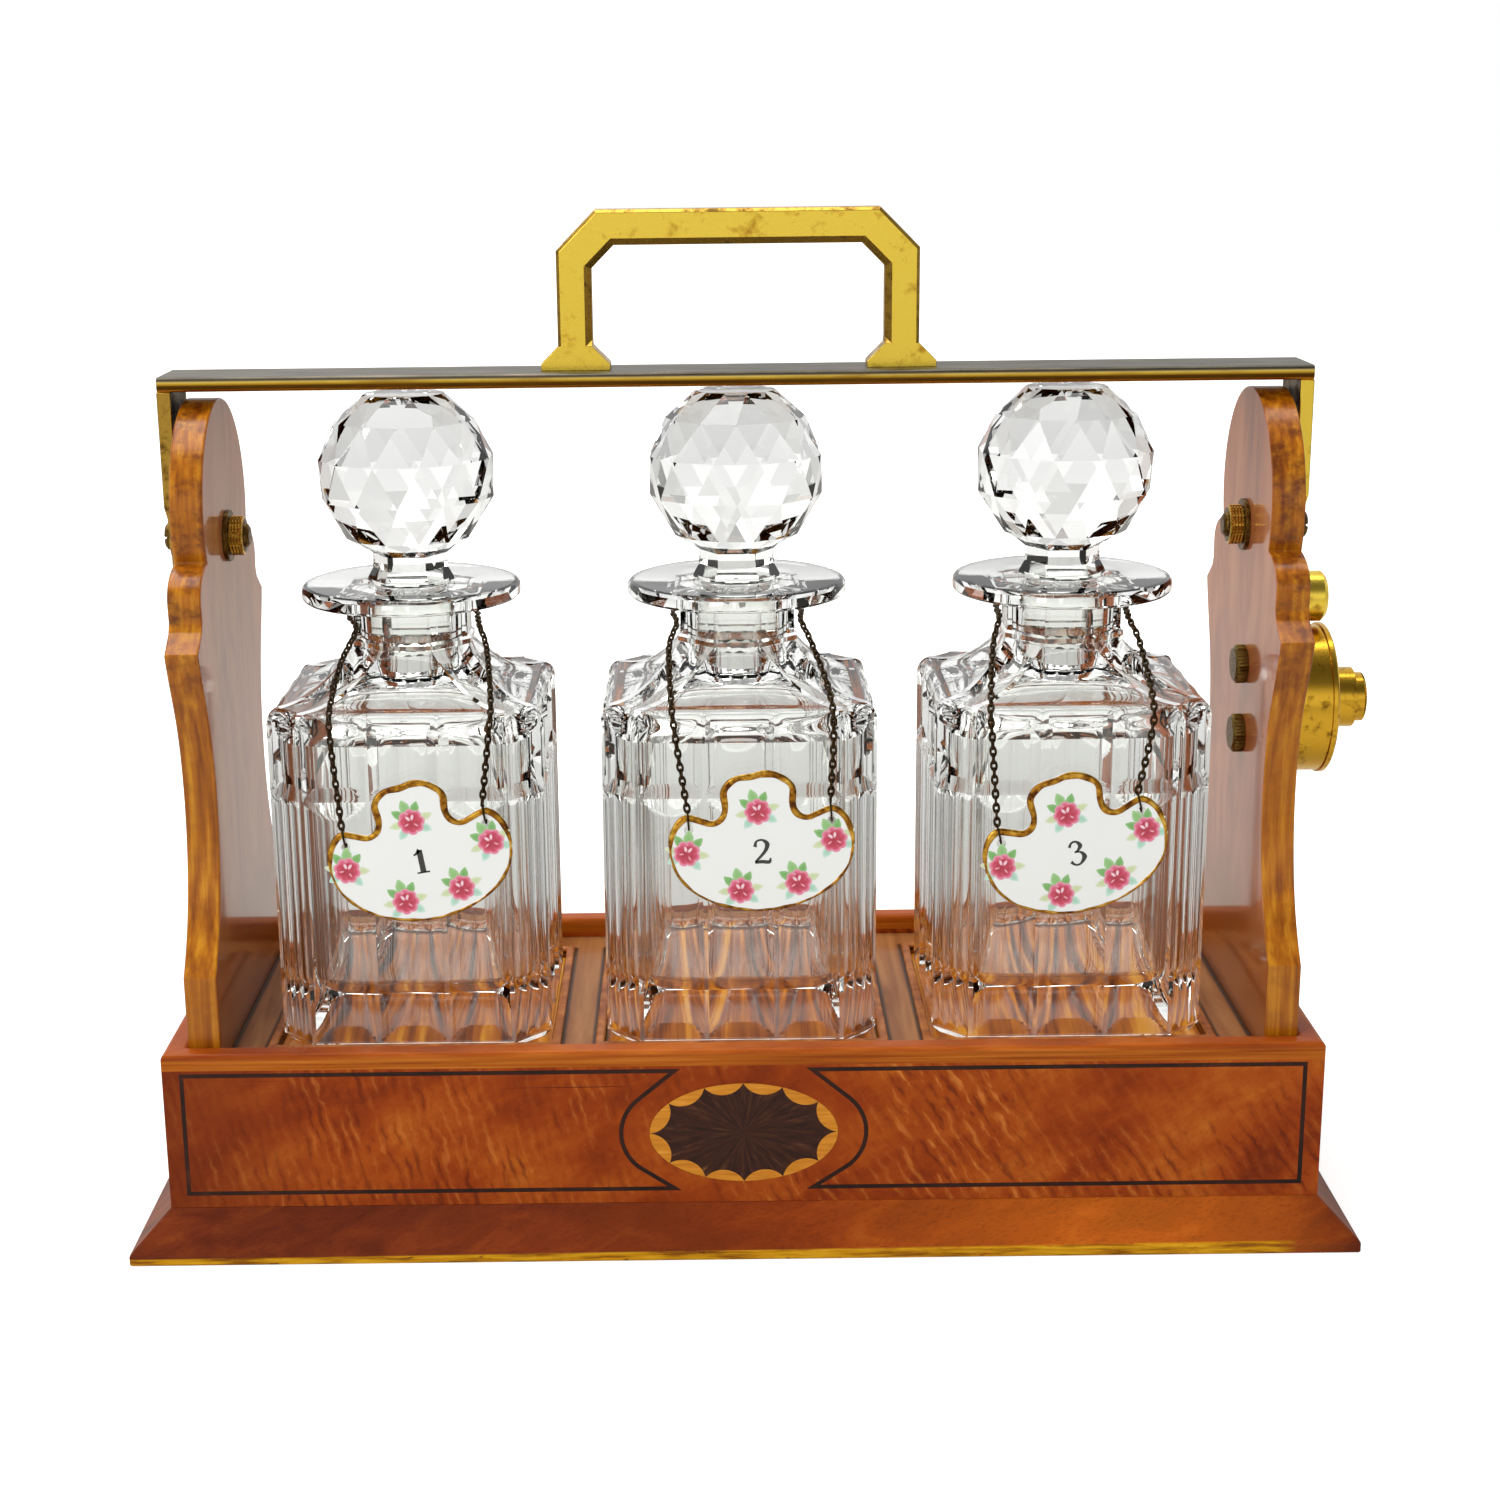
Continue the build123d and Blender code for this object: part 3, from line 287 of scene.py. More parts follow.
# ---------- case ----------
# Four mitred boards faced in rippled satinwood veneer: short wavy bars of light and dark that
# lean to the left at the top. The rounded rim is redder and carries a light strip under it.
def rippled(tree, here, apart, lean, mm):
    """Wavy bars some millimetres apart, leaning by some degrees, half and half with leaning streaks."""
    turned_by = add(tree, "Mapping", {"Vector": here, "Rotation": (0, math.radians(lean), 0)}).outputs[0]
    bars = add(tree, "TexWave", {"Vector": turned_by, "Scale": 314 / apart, "Distortion": 5.0, "Detail": 2.0,
                                 "Detail Scale": 1.3, "Detail Roughness": 0.6}).outputs["Fac"]
    bars = add(tree, "MapRange", {0: bars, 3: 0.34, 4: 0.66}).outputs[0]
    broken = streaks(tree, mm, turn=(0, lean, 0), detail=3.0, sway=0.8, here=here)
    return add(tree, "Mix", {0: 0.5, 2: broken, 3: bars}, data_type="FLOAT").outputs[0]


case_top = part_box("case_front")[1].z
case_wood, tree = new_material("rippled_satinwood")
case_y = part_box("case_front")[0].y
place = add(tree, "SeparateXYZ", {0: add(tree, "TexCoord").outputs["Object"]}).outputs
inward = add(tree, "Math", {0: place["Y"], 1: case_y}, operation="SUBTRACT").outputs[0]
round_case = add(tree, "Math", {0: place["X"], 1: inward}, operation="ADD").outputs[0]
sheet = add(tree, "CombineXYZ", {"X": round_case, "Y": case_y, "Z": place["Z"]}).outputs[0]
base = streaks(tree, (40, 40, 24), turn=(0, 30, 0), detail=6.0, rough=0.65)
colour = add(tree, "ValToRGB", {0: base}, stops=[
    (0.3, "#702606"), (0.46, "#943A08"), (0.58, "#A84C10"), (0.72, "#BE681E")]).outputs[0]
rightwards = add(tree, "MapRange", {0: place["X"], 1: -0.09, 2: 0.05}).outputs[0]
upright = rippled(tree, sheet, 3.6, 14, (3, 3, 14))
leaning = rippled(tree, sheet, 4.4, 33, (2.2, 2.2, 16))
ripple = add(tree, "Mix", {0: rightwards, 2: upright, 3: leaning}, data_type="FLOAT").outputs[0]
patchy = streaks(tree, (40, 40, 34), detail=2.0, shift=(0.2, 0, 0))
where = add(tree, "MapRange", {0: patchy, 1: 0.42, 2: 0.58, 3: 0.2, 4: 1.0}).outputs[0]
lights = add(tree, "MapRange", {0: ripple, 1: 0.55, 2: 0.65, 3: 0.0, 4: 0.75}).outputs[0]
brighter = add(tree, "MapRange", {0: rightwards, 3: 0.55, 4: 1.0}).outputs[0]
plain_end = add(tree, "MapRange", {0: place["X"], 1: 0.105, 2: 0.15, 3: 1.0, 4: 0.2}).outputs[0]
brighter = add(tree, "Math", {0: brighter, 1: plain_end}, operation="MULTIPLY").outputs[0]
lights = add(tree, "Math", {0: lights, 1: brighter}, operation="MULTIPLY").outputs[0]
lights = add(tree, "Math", {0: lights, 1: where}, operation="MULTIPLY").outputs[0]
darks = add(tree, "MapRange", {0: ripple, 1: 0.46, 2: 0.36, 3: 0.0, 4: 0.7}).outputs[0]
darks = add(tree, "Math", {0: darks, 1: where}, operation="MULTIPLY").outputs[0]
colour = tinted(tree, lights, colour, linear("#D07C34"))
colour = tinted(tree, darks, colour, linear("#5E1E06"))
pores = streaks(tree, (0.8, 0.8, 1.5), detail=4.0, rough=0.7)
colour = tinted(tree, add(tree, "MapRange", {0: pores, 1: 0.52, 2: 0.75, 3: 0.0, 4: 0.3}).outputs[0],
                colour, linear("#5A1E08"))
left_dark = add(tree, "MapRange", {0: place["X"], 1: -0.184, 2: -0.13, 3: 0.75, 4: 0.0}).outputs[0]
colour = tinted(tree, left_dark, colour, linear("#6A2609"))
scored = add(tree, "MapRange", {0: streaks(tree, (120, 120, 0.7), detail=1.0), 1: 0.70, 2: 0.73}).outputs[0]
near_top = add(tree, "MapRange", {0: place["Z"], 1: case_top - 0.016, 2: case_top - 0.013}).outputs[0]
left_of_oval = add(tree, "MapRange", {0: place["X"], 1: -0.02, 2: 0.01, 3: 1.0, 4: 0.0}).outputs[0]
scored = add(tree, "Math", {0: scored, 1: near_top}, operation="MULTIPLY").outputs[0]
scored = add(tree, "Math", {0: scored, 1: left_of_oval}, operation="MULTIPLY").outputs[0]
colour = tinted(tree, scored, colour, linear("#4A1606"))
strip_low = add(tree, "MapRange", {0: place["Z"], 1: case_top - 0.0056, 2: case_top - 0.0053}).outputs[0]
strip_grain = add(tree, "ValToRGB", {0: streaks(tree, (60, 60, 1.2), detail=4.0)}, stops=[
    (0.32, "#8C3E0C"), (0.5, "#A8560F"), (0.7, "#C07024")]).outputs[0]
colour = tinted(tree, strip_low, colour, strip_grain)
rim = add(tree, "MapRange", {0: place["Z"], 1: case_top - 0.0024, 2: case_top - 0.0016}).outputs[0]
rim_grain = add(tree, "ValToRGB", {0: streaks(tree, (50, 50, 3), detail=4.0)}, stops=[
    (0.3, "#7A2E0A"), (0.55, "#A54E12"), (0.75, "#C46C22")]).outputs[0]
colour = tinted(tree, rim, colour, rim_grain)
french_polish(tree, colour, pores=pores, shine=0.12)
for side in ("front", "right", "back", "left"):
    if side == "front":
        node["case_front"].material_slots[0].material = case_wood
    else:
        eased("case_" + side, 0.0002, "case").data.materials.append(case_wood)

# ---------- inlay ----------
# A dark fan with a grain that runs out from its middle, between twelve light boxwood lenses whose
# inner rims were scorched in hot sand, and two dark lines; all are veneer let in flush.
oval_middle = Vector((0, 0, (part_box("inlay_scallops")[0].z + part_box("inlay_scallops")[1].z) / 2))
fan_wood, tree = new_material("rosewood_fan")
here = add(tree, "TexCoord").outputs["Object"]
centred = add(tree, "SeparateXYZ", {0: add(tree, "Mapping", {
    "Vector": here, "Location": tuple(-oval_middle)}).outputs[0]}).outputs
turn = add(tree, "Math", {0: centred["Z"], 1: centred["X"]}, operation="ARCTAN2").outputs[0]
out = add(tree, "VectorMath", {0: add(tree, "CombineXYZ", {
    "X": centred["X"], "Z": centred["Z"]}).outputs[0]}, operation="LENGTH").outputs["Value"]
ray_at = add(tree, "CombineXYZ", {
    "X": add(tree, "Math", {0: turn, 1: 9.0}, operation="MULTIPLY").outputs[0],
    "Y": add(tree, "Math", {0: out, 1: 90.0}, operation="MULTIPLY").outputs[0]}).outputs[0]
rays = add(tree, "TexNoise", {"Vector": ray_at, "Scale": 1.0, "Detail": 5.0, "Roughness": 0.7}).outputs["Fac"]
colour = add(tree, "ValToRGB", {0: rays}, stops=[
    (0.3, "#1E0E08"), (0.52, "#3A1B10"), (0.66, "#52301C"), (0.78, "#8A6232")]).outputs[0]
french_polish(tree, colour)
node["inlay_fan"].material_slots[0].material = fan_wood

lens_wood, tree = new_material("boxwood_lenses")
grain = streaks(tree, (12, 12, 0.9), detail=3.0)
colour = add(tree, "ValToRGB", {0: grain}, stops=[(0.3, "#BE7218"), (0.6, "#D58A26"), (0.8, "#E0A040")]).outputs[0]
french_polish(tree, colour)
node["inlay_scallops"].material_slots[0].material = lens_wood

line_wood, tree = new_material("ebonised_line")
grain = streaks(tree, (20, 20, 20), detail=6.0, rough=0.7)
colour = add(tree, "ValToRGB", {0: grain}, stops=[(0.35, "#1C0C06"), (0.6, "#36180C"), (0.75, "#5A2C14")]).outputs[0]
french_polish(tree, colour)
node["inlay_strings"].material_slots[0].material = line_wood

# ---------- tray and wells ----------
# A veneered tray with three square wells, each edged with a small bead and floored in light
# veneer, coloured darker here as painted shade under the decanters. The tray is redder than the
# case, with a dark line beside each bead.
tray_wood, tree = new_material("tray_mahogany")
grain = streaks(tree, (8, 70, 8), bend=0.6)
colour = add(tree, "ValToRGB", {0: grain}, stops=[
    (0.3, "#74421F"), (0.5, "#8E5A32"), (0.7, "#A46E40")]).outputs[0]
wells = [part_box("well_bead_" + i) for i in "123"]
apart = (wells[2][0].x - wells[0][0].x) / 2
bead_half = (wells[1][1].x - wells[1][0].x) / 2
place = add(tree, "SeparateXYZ", {0: add(tree, "TexCoord").outputs["Object"]}).outputs
across = add(tree, "Math", {0: place["X"], 1: apart / 2}, operation="ADD").outputs[0]
across = add(tree, "Math", {0: across, 1: apart}, operation="FLOORED_MODULO").outputs[0]
across = add(tree, "Math", {0: across, 1: apart / 2}, operation="SUBTRACT").outputs[0]
across = add(tree, "Math", {0: across}, operation="ABSOLUTE").outputs[0]
deep = add(tree, "Math", {0: place["Y"]}, operation="ABSOLUTE").outputs[0]
beside = add(tree, "Math", {0: across, 1: deep}, operation="MAXIMUM").outputs[0]
# A dark line in the tray just beside each bead.
dark_bead_line = add(tree, "MapRange", {0: beside, 1: bead_half + 0.0006, 2: bead_half + 0.0016, 3: 0.9, 4: 0.0}).outputs[0]
colour = tinted(tree, dark_bead_line, colour, linear("#241208"))
height = add(tree, "SeparateXYZ", {0: add(tree, "TexCoord").outputs["Object"]}).outputs["Z"]
tray_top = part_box("tray_board")[1].z
inside = add(tree, "MapRange", {0: height, 1: tray_top - 0.0009, 2: tray_top - 0.0006, 3: 1.0, 4: 0.0}).outputs[0]
colour = tinted(tree, inside, colour, linear("#7A3C10"))
french_polish(tree, colour, coat=0.14, shine=0.15)
node["tray_board"].material_slots[0].material = tray_wood
bead_wood, tree = new_material("bead_mahogany")
grain = streaks(tree, (6, 6, 2), detail=4.0)
colour = add(tree, "ValToRGB", {0: grain}, stops=[
    (0.3, "#7A3E18"), (0.5, "#9C5A2A"), (0.7, "#B87238")]).outputs[0]
french_polish(tree, colour, shine=0.15)
# Light satinwood for the well floors, its colours darkened as painted shade under the decanters.
well_wood_and_shade, tree = new_material("well_satinwood_and_shade")
grain = streaks(tree, (6, 120, 6), detail=3.0)
colour = add(tree, "ValToRGB", {0: grain}, stops=[
    (0.34, "#451A04"), (0.46, "#8A4408"), (0.58, "#B4660E"), (0.68, "#D49024")]).outputs[0]
french_polish(tree, colour, coat=0.12)
for i in "123":
    eased("well_bead_" + i, 0.0003, "case").data.materials.append(bead_wood)
    node["well_floor_" + i].material_slots[0].material = well_wood_and_shade

# ---------- standards ----------
# Two shaped boards of solid hardwood, standing inside the case. Their broad faces are polished
# like glass; their sawn edges are golden brown, rubbed and grimy.
face_wood, tree = new_material("standard_face")
cloudy = streaks(tree, (22, 22, 60), detail=3.0, bend=0.7)
colour = add(tree, "ValToRGB", {0: cloudy}, stops=[
    (0.34, "#8A4626"), (0.5, "#A45C34"), (0.66, "#B26E46")]).outputs[0]
height = add(tree, "SeparateXYZ", {0: add(tree, "TexCoord").outputs["Object"]}).outputs["Z"]
low = add(tree, "MapRange", {0: height, 1: 0.09, 2: 0.115, 3: 1.0, 4: 0.0}, interpolation_type="SMOOTHSTEP").outputs[0]
colour = tinted(tree, low, colour, linear("#8A4A1A"))
specks = add(tree, "MapRange", {0: streaks(tree, (1.2, 1.2, 1.6), detail=4.0, rough=0.7), 1: 0.64, 2: 0.7,
                                3: 0.0, 4: 0.6}).outputs[0]
colour = tinted(tree, specks, colour, linear("#4A2012"))
french_polish(tree, colour, coat=0.08, shine=0.75)
edge_wood, tree = new_material("standard_edge")
grain = streaks(tree, (2.4, 6, 60), detail=4.0)
colour = add(tree, "ValToRGB", {0: grain}, stops=[
    (0.3, "#804004"), (0.5, "#A86008"), (0.7, "#C88418")]).outputs[0]
grime = add(tree, "MapRange", {0: streaks(tree, (7, 7, 6), detail=7.0, rough=0.65), 1: 0.46, 2: 0.64,
                               3: 0.0, 4: 0.85}).outputs[0]
height = add(tree, "SeparateXYZ", {0: add(tree, "TexCoord").outputs["Object"]}).outputs["Z"]
upper = add(tree, "MapRange", {0: height, 1: 0.17, 2: 0.2, 3: 0.25, 4: 1.0}).outputs[0]
grime = add(tree, "Math", {0: grime, 1: upper}, operation="MULTIPLY").outputs[0]
colour = tinted(tree, grime, colour, linear("#5E2808"))
french_polish(tree, colour, coat=0.2, rough=0.42, shine=0.55)
for side in ("left", "right"):
    piece = eased("standard_" + side, 0.0006, "case")
    piece.data.materials.append(face_wood)
    piece.data.materials.append(edge_wood)
    across = np.empty(len(piece.data.polygons) * 3)
    piece.data.polygons.foreach_get("normal", across)
    is_edge = (np.abs(across.reshape(-1, 3)[:, 0]) < 0.7).astype(np.int32)
    piece.data.polygons.foreach_set("material_index", is_edge)

# ---------- pivots and lock ----------
# Turned brass: washers, spacers and thumb nuts on the pivot screws, and a drum with a turned cap,
# a guide barrel and a milled push piece. Lacquer has gone, leaving brown tarnish in the hollows.
def grids(name, points, wrap=(False, False), paint=None, facing=None):
    """Meshes of k grids of n by m points, joined round where wrap says so, welded at their poles.

    Corner numbers are row times m plus column. A closed mesh is turned to face outwards, an open
    one towards the given direction. paint gives each point a linear colour.
    """
    points = np.asarray(points, dtype=float)
    k, n, m = points.shape[:3]
    row = np.arange(n if wrap[0] else n - 1)[:, None]
    column = np.arange(m if wrap[1] else m - 1)[None, :]
    after = (row + 1) % n
    beside = (column + 1) % m
    corners = np.stack([row * m + column, row * m + beside, after * m + beside, after * m + column], -1)
    faces = (corners.reshape(1, -1, 4) + np.arange(k)[:, None, None] * n * m).reshape(-1, 4)
    made = bpy.data.meshes.new(name)
    made.from_pydata(points.reshape(-1, 3).tolist(), [], faces.tolist())
    if paint is not None:
        colours = np.ones((k * n * m, 4))
        colours[:, :3] = np.asarray(paint).reshape(-1, 3)
        made.color_attributes.new("paint", "FLOAT_COLOR", "POINT").data.foreach_set("color", colours.ravel())
    mesh = bmesh.new()
    mesh.from_mesh(made)
    bmesh.ops.remove_doubles(mesh, verts=mesh.verts, dist=1e-7)
    if facing is None:
        bmesh.ops.recalc_face_normals(mesh, faces=mesh.faces)
    elif sum(face.normal.dot(Vector(facing)) * face.calc_area() for face in mesh.faces) < 0:
        bmesh.ops.reverse_faces(mesh, faces=mesh.faces)
    mesh.to_mesh(made)
    mesh.free()
    made.shade_smooth()
    piece = bpy.data.objects.new(name, made)
    bpy.context.scene.collection.objects.link(piece)
    return piece


def brass(name, bright, tarnish, cover=0.5, rough=0.22, spot_mm=5.0):
    """Metallic brass whose tarnish follows two sizes of noise, duller where it is darker."""
    material, tree = new_material(name)
    spots = streaks(tree, (spot_mm,) * 3, detail=7.0, rough=0.68)
    stain = add(tree, "MapRange", {0: spots, 1: 0.66 - 0.3 * cover, 2: 0.78 - 0.24 * cover, 3: 0.0, 4: 0.85}).outputs[0]
    colour = tinted(tree, stain, linear(bright), linear(tarnish))
    dull = add(tree, "MapRange", {0: stain, 3: rough, 4: rough + 0.28}).outputs[0]
    scratch = streaks(tree, (0.5, 0.5, 0.5), detail=4.0)
    pits = add(tree, "Bump", {"Height": scratch, "Strength": 0.08, "Distance": 0.0002}).outputs[0]
    skin = add(tree, "BsdfPrincipled", {"Base Color": colour, "Metallic": 1.0, "Roughness": dull,
                                        "Normal": pits}).outputs[0]
    add(tree, "OutputMaterial", {"Surface": skin})
    return material


def turned(name, profile, places, teeth, depth, milled, body, side=(1,)):
    """Bodies turned about the X axis: radius against x, cut by depth times half of 1 + cos(teeth * angle).

    profile is (x, radius) in millimetres from the inner end to the outer; milled gives each row's share
    of the cut. One copy stands at each (y, z) place, and is mirrored in X where its side is -1.
    """
    x, radius = np.asarray(profile, float).T
    turn = np.linspace(0, 2 * math.pi, 4 * teeth, endpoint=False)
    cut = depth * np.asarray(milled, float)[:, None] * (0.5 + 0.5 * np.cos(teeth * turn))
    r = radius[:, None] - cut
    copies = [np.stack([np.broadcast_to(s * x[:, None], r.shape), y + r * np.cos(turn), z + r * np.sin(turn)], -1)
              for (y, z), s in zip(places, side * len(places) if len(side) == 1 else side)]
    piece = grids(name, np.asarray(copies) / 1000, wrap=(False, True))
    piece.data.set_sharp_from_angle(angle=math.radians(35))
    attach(piece, body)
    return piece


def rubbed(piece, axis, share, flat, rest):
    """Gives the faces whose normal lies along an axis one metal, and all the others another; on the straps the first is
    tarnish with painted shade.
    """
    piece.data.materials.append(rest)
    piece.data.materials.append(flat)
    facing = np.empty(len(piece.data.polygons) * 3)
    piece.data.polygons.foreach_get("normal", facing)
    piece.data.polygons.foreach_set("material_index", (np.abs(facing[axis::3]) > share).astype(np.int32))


fitting_brass = brass("fitting_brass", "#E0AE34", "#6A420F", cover=0.4, rough=0.2)
dark_brass = brass("tarnished_brass", "#6E5224", "#2C1E0E", cover=0.62, rough=0.32, spot_mm=0.9)
black_brass = brass("blackened_brass", "#7A6230", "#2A1E0E", cover=0.5, rough=0.28, spot_mm=0.9)
rim_brass = brass("nut_rim_brass", "#C89A3C", "#4A300F", cover=0.42, rough=0.22, spot_mm=0.9)
for name in ("lock_case", "lock_cap", "lock_sleeve"):
    eased(name, 0.00015, "case").data.materials.append(fitting_brass)
for name in ("pivot_spacers", "pivot_washers", "pivot_screws"):
    eased(name, 0.00015, "case").data.materials.append(dark_brass)

pivot_z = 500 * (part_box("pivot_nuts")[0].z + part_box("pivot_nuts")[1].z)
low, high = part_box("pivot_nuts")
end = 1000 * high.x
start = end - 4.6
rows = [(start, 0.0), (start, 5.6), (start + 0.4, 6.2)]
milled = [0, 0, 0]
for k in range(4):
    at = start + 0.55 + k * 1.0
    rows += [(at, 6.4), (at + 0.62, 6.4), (at + 0.72, 5.8), (at + 0.92, 5.8)]
    milled += [1, 1, 0, 0]
rows += [(end, 6.2), (end, 0.0)]
milled += [0, 0]
nuts = turned("pivot_nuts_milled", rows, ((0, pivot_z), (0, pivot_z)), 36, 0.35, milled, "case", side=(1, -1))
rubbed(nuts, 0, 0.9, dark_brass, rim_brass)
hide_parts("pivot_nuts")

low, high = (1000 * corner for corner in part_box("lock_nuts"))
rows = [(low.x, 0.0), (low.x, 5.2), (low.x + 0.8, 6.1), (low.x + 1.0, 6.3), (high.x - 0.4, 6.3), (high.x, 6.0),
        (high.x, 0.0)]
stud_y = (low.y + high.y) / 2
nuts = turned("lock_nuts_milled", rows, ((stud_y, low.z + 6.3), (stud_y, high.z - 6.3)), 30, 0.5,
              (0, 0, 0.4, 1, 1, 0.3, 0), "case")
rubbed(nuts, 0, 0.9, dark_brass, black_brass)
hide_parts("lock_nuts")

low, high = (1000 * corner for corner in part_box("lock_plunger"))
button_z = (low.z + high.z) / 2
rows = [(high.x - 0.85, 7.8), (high.x - 0.8, 8.06), (high.x - 0.25, 8.06), (high.x - 0.02, 7.85),
        (high.x - 0.02, 6.7), (high.x - 0.85, 6.7)]
ring = turned("button_milling", rows, ((0, button_z),), 52, 0.45, (0.6, 1, 1, 0.6, 0, 0), "lock_button")
ring.data.materials.append(fitting_brass)
eased("lock_plunger", 0.00015, "lock_button").data.materials.append(fitting_brass)
node["lock_studs"].material_slots[0].material = dark_brass
node["lock_bolt"].material_slots[0].material = dark_brass

low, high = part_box("lock_spring")
leaf = bpy.data.objects.new("lock_spring_leaf", node["lock_spring"].data.copy())
bpy.context.scene.collection.objects.link(leaf)
leaf.data.materials.clear()
leaf.data.materials.append(dark_brass)
middle = (low + high) / 2
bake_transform(leaf)
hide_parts("lock_spring")

# ---------- carrying frame ----------
# Cast and filed brass: a round-edged bar, two straps and the bail. The bar's flat top is grey-brown
# and duller, and its rounded front carries a painted highlight line over a painted dark band. The
# straps' broad faces are dark, as tarnish with painted shade where they face the standards, while
# their narrow edges are brighter; the bail's broad faces are bright and its bevels grimy.
frame_brass = brass("handled_brass", "#FFDC54", "#C08C28", cover=0.38, rough=0.26, spot_mm=7.0)
grimy_brass = brass("grimy_brass", "#B8923C", "#5A3E14", cover=0.55, rough=0.26, spot_mm=4.0)
# Dark brass for the straps' broad faces: tarnish, and on the inner faces that face the standards painted shade as well.
strap_tarnish_and_shade = brass("strap_face_tarnish_and_shade", "#6A5020", "#20160A", cover=0.7, rough=0.34, spot_mm=6.0)
bar_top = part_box("carrying_bar")[1].z
bar_brass, tree = new_material("bar_brass")
spots = streaks(tree, (30, 8, 8), detail=7.0, rough=0.6)
height = add(tree, "SeparateXYZ", {0: add(tree, "TexCoord").outputs["Object"]}).outputs["Z"]
below = add(tree, "MapRange", {0: height, 1: bar_top - 0.0046, 2: bar_top}).outputs[0]
# The rounded front: golden brass low down, then a painted dark band and above it a painted highlight line, under the
# grey-brown top.
edge_and_painted_bands = add(tree, "ValToRGB", {0: below}, stops=[
    (0.0, "#C08424"), (0.12, "#A86A1A"), (0.22, "#4E300C"), (0.42, "#5E3C10"), (0.56, "#D8AC34"),
    (0.68, "#EED070"), (0.76, "#6E624A")]).outputs[0]
blotch = add(tree, "MapRange", {0: spots, 1: 0.45, 2: 0.7, 3: 0.0, 4: 0.6}).outputs[0]
edge_and_painted_bands = tinted(tree, blotch, edge_and_painted_bands, linear("#7A5016"))
top = add(tree, "ValToRGB", {0: spots}, stops=[
    (0.3, "#4A443A"), (0.5, "#5E584C"), (0.72, "#776E60")]).outputs[0]
is_top = add(tree, "MapRange", {0: height, 1: bar_top - 0.0010, 2: bar_top - 0.0007}).outputs[0]
dull = add(tree, "MapRange", {0: is_top, 3: 0.26, 4: 0.42}).outputs[0]
skin = add(tree, "BsdfPrincipled", {"Base Color": tinted(tree, is_top, edge_and_painted_bands, top), "Metallic": 1.0,
                                    "Roughness": dull}).outputs[0]
add(tree, "OutputMaterial", {"Surface": skin})
eased("carrying_bar", 0.0003, "carry_frame").data.materials.append(bar_brass)
eased("lock_lug", 0.0004, "carry_frame").data.materials.append(frame_brass)
# The straps' broad faces take the dark brass: tarnish, with painted shade on the inner ones.
for name, narrow_faces in (("strap_left", grimy_brass), ("strap_right", frame_brass)):
    rubbed(eased(name, 0.0004, "carry_frame"), 0, 0.9, strap_tarnish_and_shade, narrow_faces)
rubbed(eased("handle", 0.0006, "carry_frame"), 1, 0.9, frame_brass, grimy_brass)
node["handle_screws"].material_slots[0].material = dark_brass

# ---------- decanters and stoppers ----------
# Heavy lead crystal, blown square, wheel-cut into flutes and panels and polished: water-clear,
# with a high refractive index that darkens the edges of the cuts.
crystal, tree = new_material("lead_crystal")
glass = add(tree, "BsdfPrincipled", {"Base Color": linear("#FBFCF9"), "Roughness": 0.0, "IOR": 1.54,
                                     "Transmission Weight": 1.0}).outputs[0]
through = add(tree, "BsdfTransparent", {"Color": linear("#F8F8F6")}).outputs[0]
shadow = add(tree, "LightPath").outputs["Is Shadow Ray"]
add(tree, "OutputMaterial", {"Surface": add(tree, "MixShader", {0: shadow, 1: glass, 2: through}).outputs[0]})
def flute(u, width, deep):
    """Depth of a round-bottomed groove: its radius is width squared over 8 deep, plus half of deep."""
    radius = width ** 2 / (8 * deep) + deep / 2
    return deep - radius + np.sqrt(np.maximum(radius ** 2 - u ** 2, 0))


def cut_depth(u, z, corner):
    """How deep the wheel has cut at u along a face and height z: the deepest of its panels and flutes.

    Each cut is the least of its cross section and of two slopes that lift it out at its ends.
    """
    low_ends = np.minimum((z - 3.5) * 0.5, (84.4 - z) * 0.42)
    up_ends = np.minimum((z - 84.4) * 0.46, (112.2 - z) * 0.26)
    if corner:
        low = np.max([flute(u - x, 5.3, 1.0) for x in (-5.1, 0.0, 5.1)], 0)
        panel = np.minimum(2.0, (7.6 - np.abs(u)) * 0.5)
    else:
        low = np.max([flute(u - x, w, 2.8) for x, w in ((-21.8, 19.6), (0, 21.2), (21.8, 19.6))], 0)
        panel = np.max([np.minimum(1.9, (w / 2 - np.abs(u - x)) * 0.55)
                        for x, w in ((-21.8, 20.2), (0, 21.6), (21.8, 20.2))], 0)
    return np.maximum(0, np.maximum(np.minimum(low, low_ends), np.minimum(panel, up_ends)))


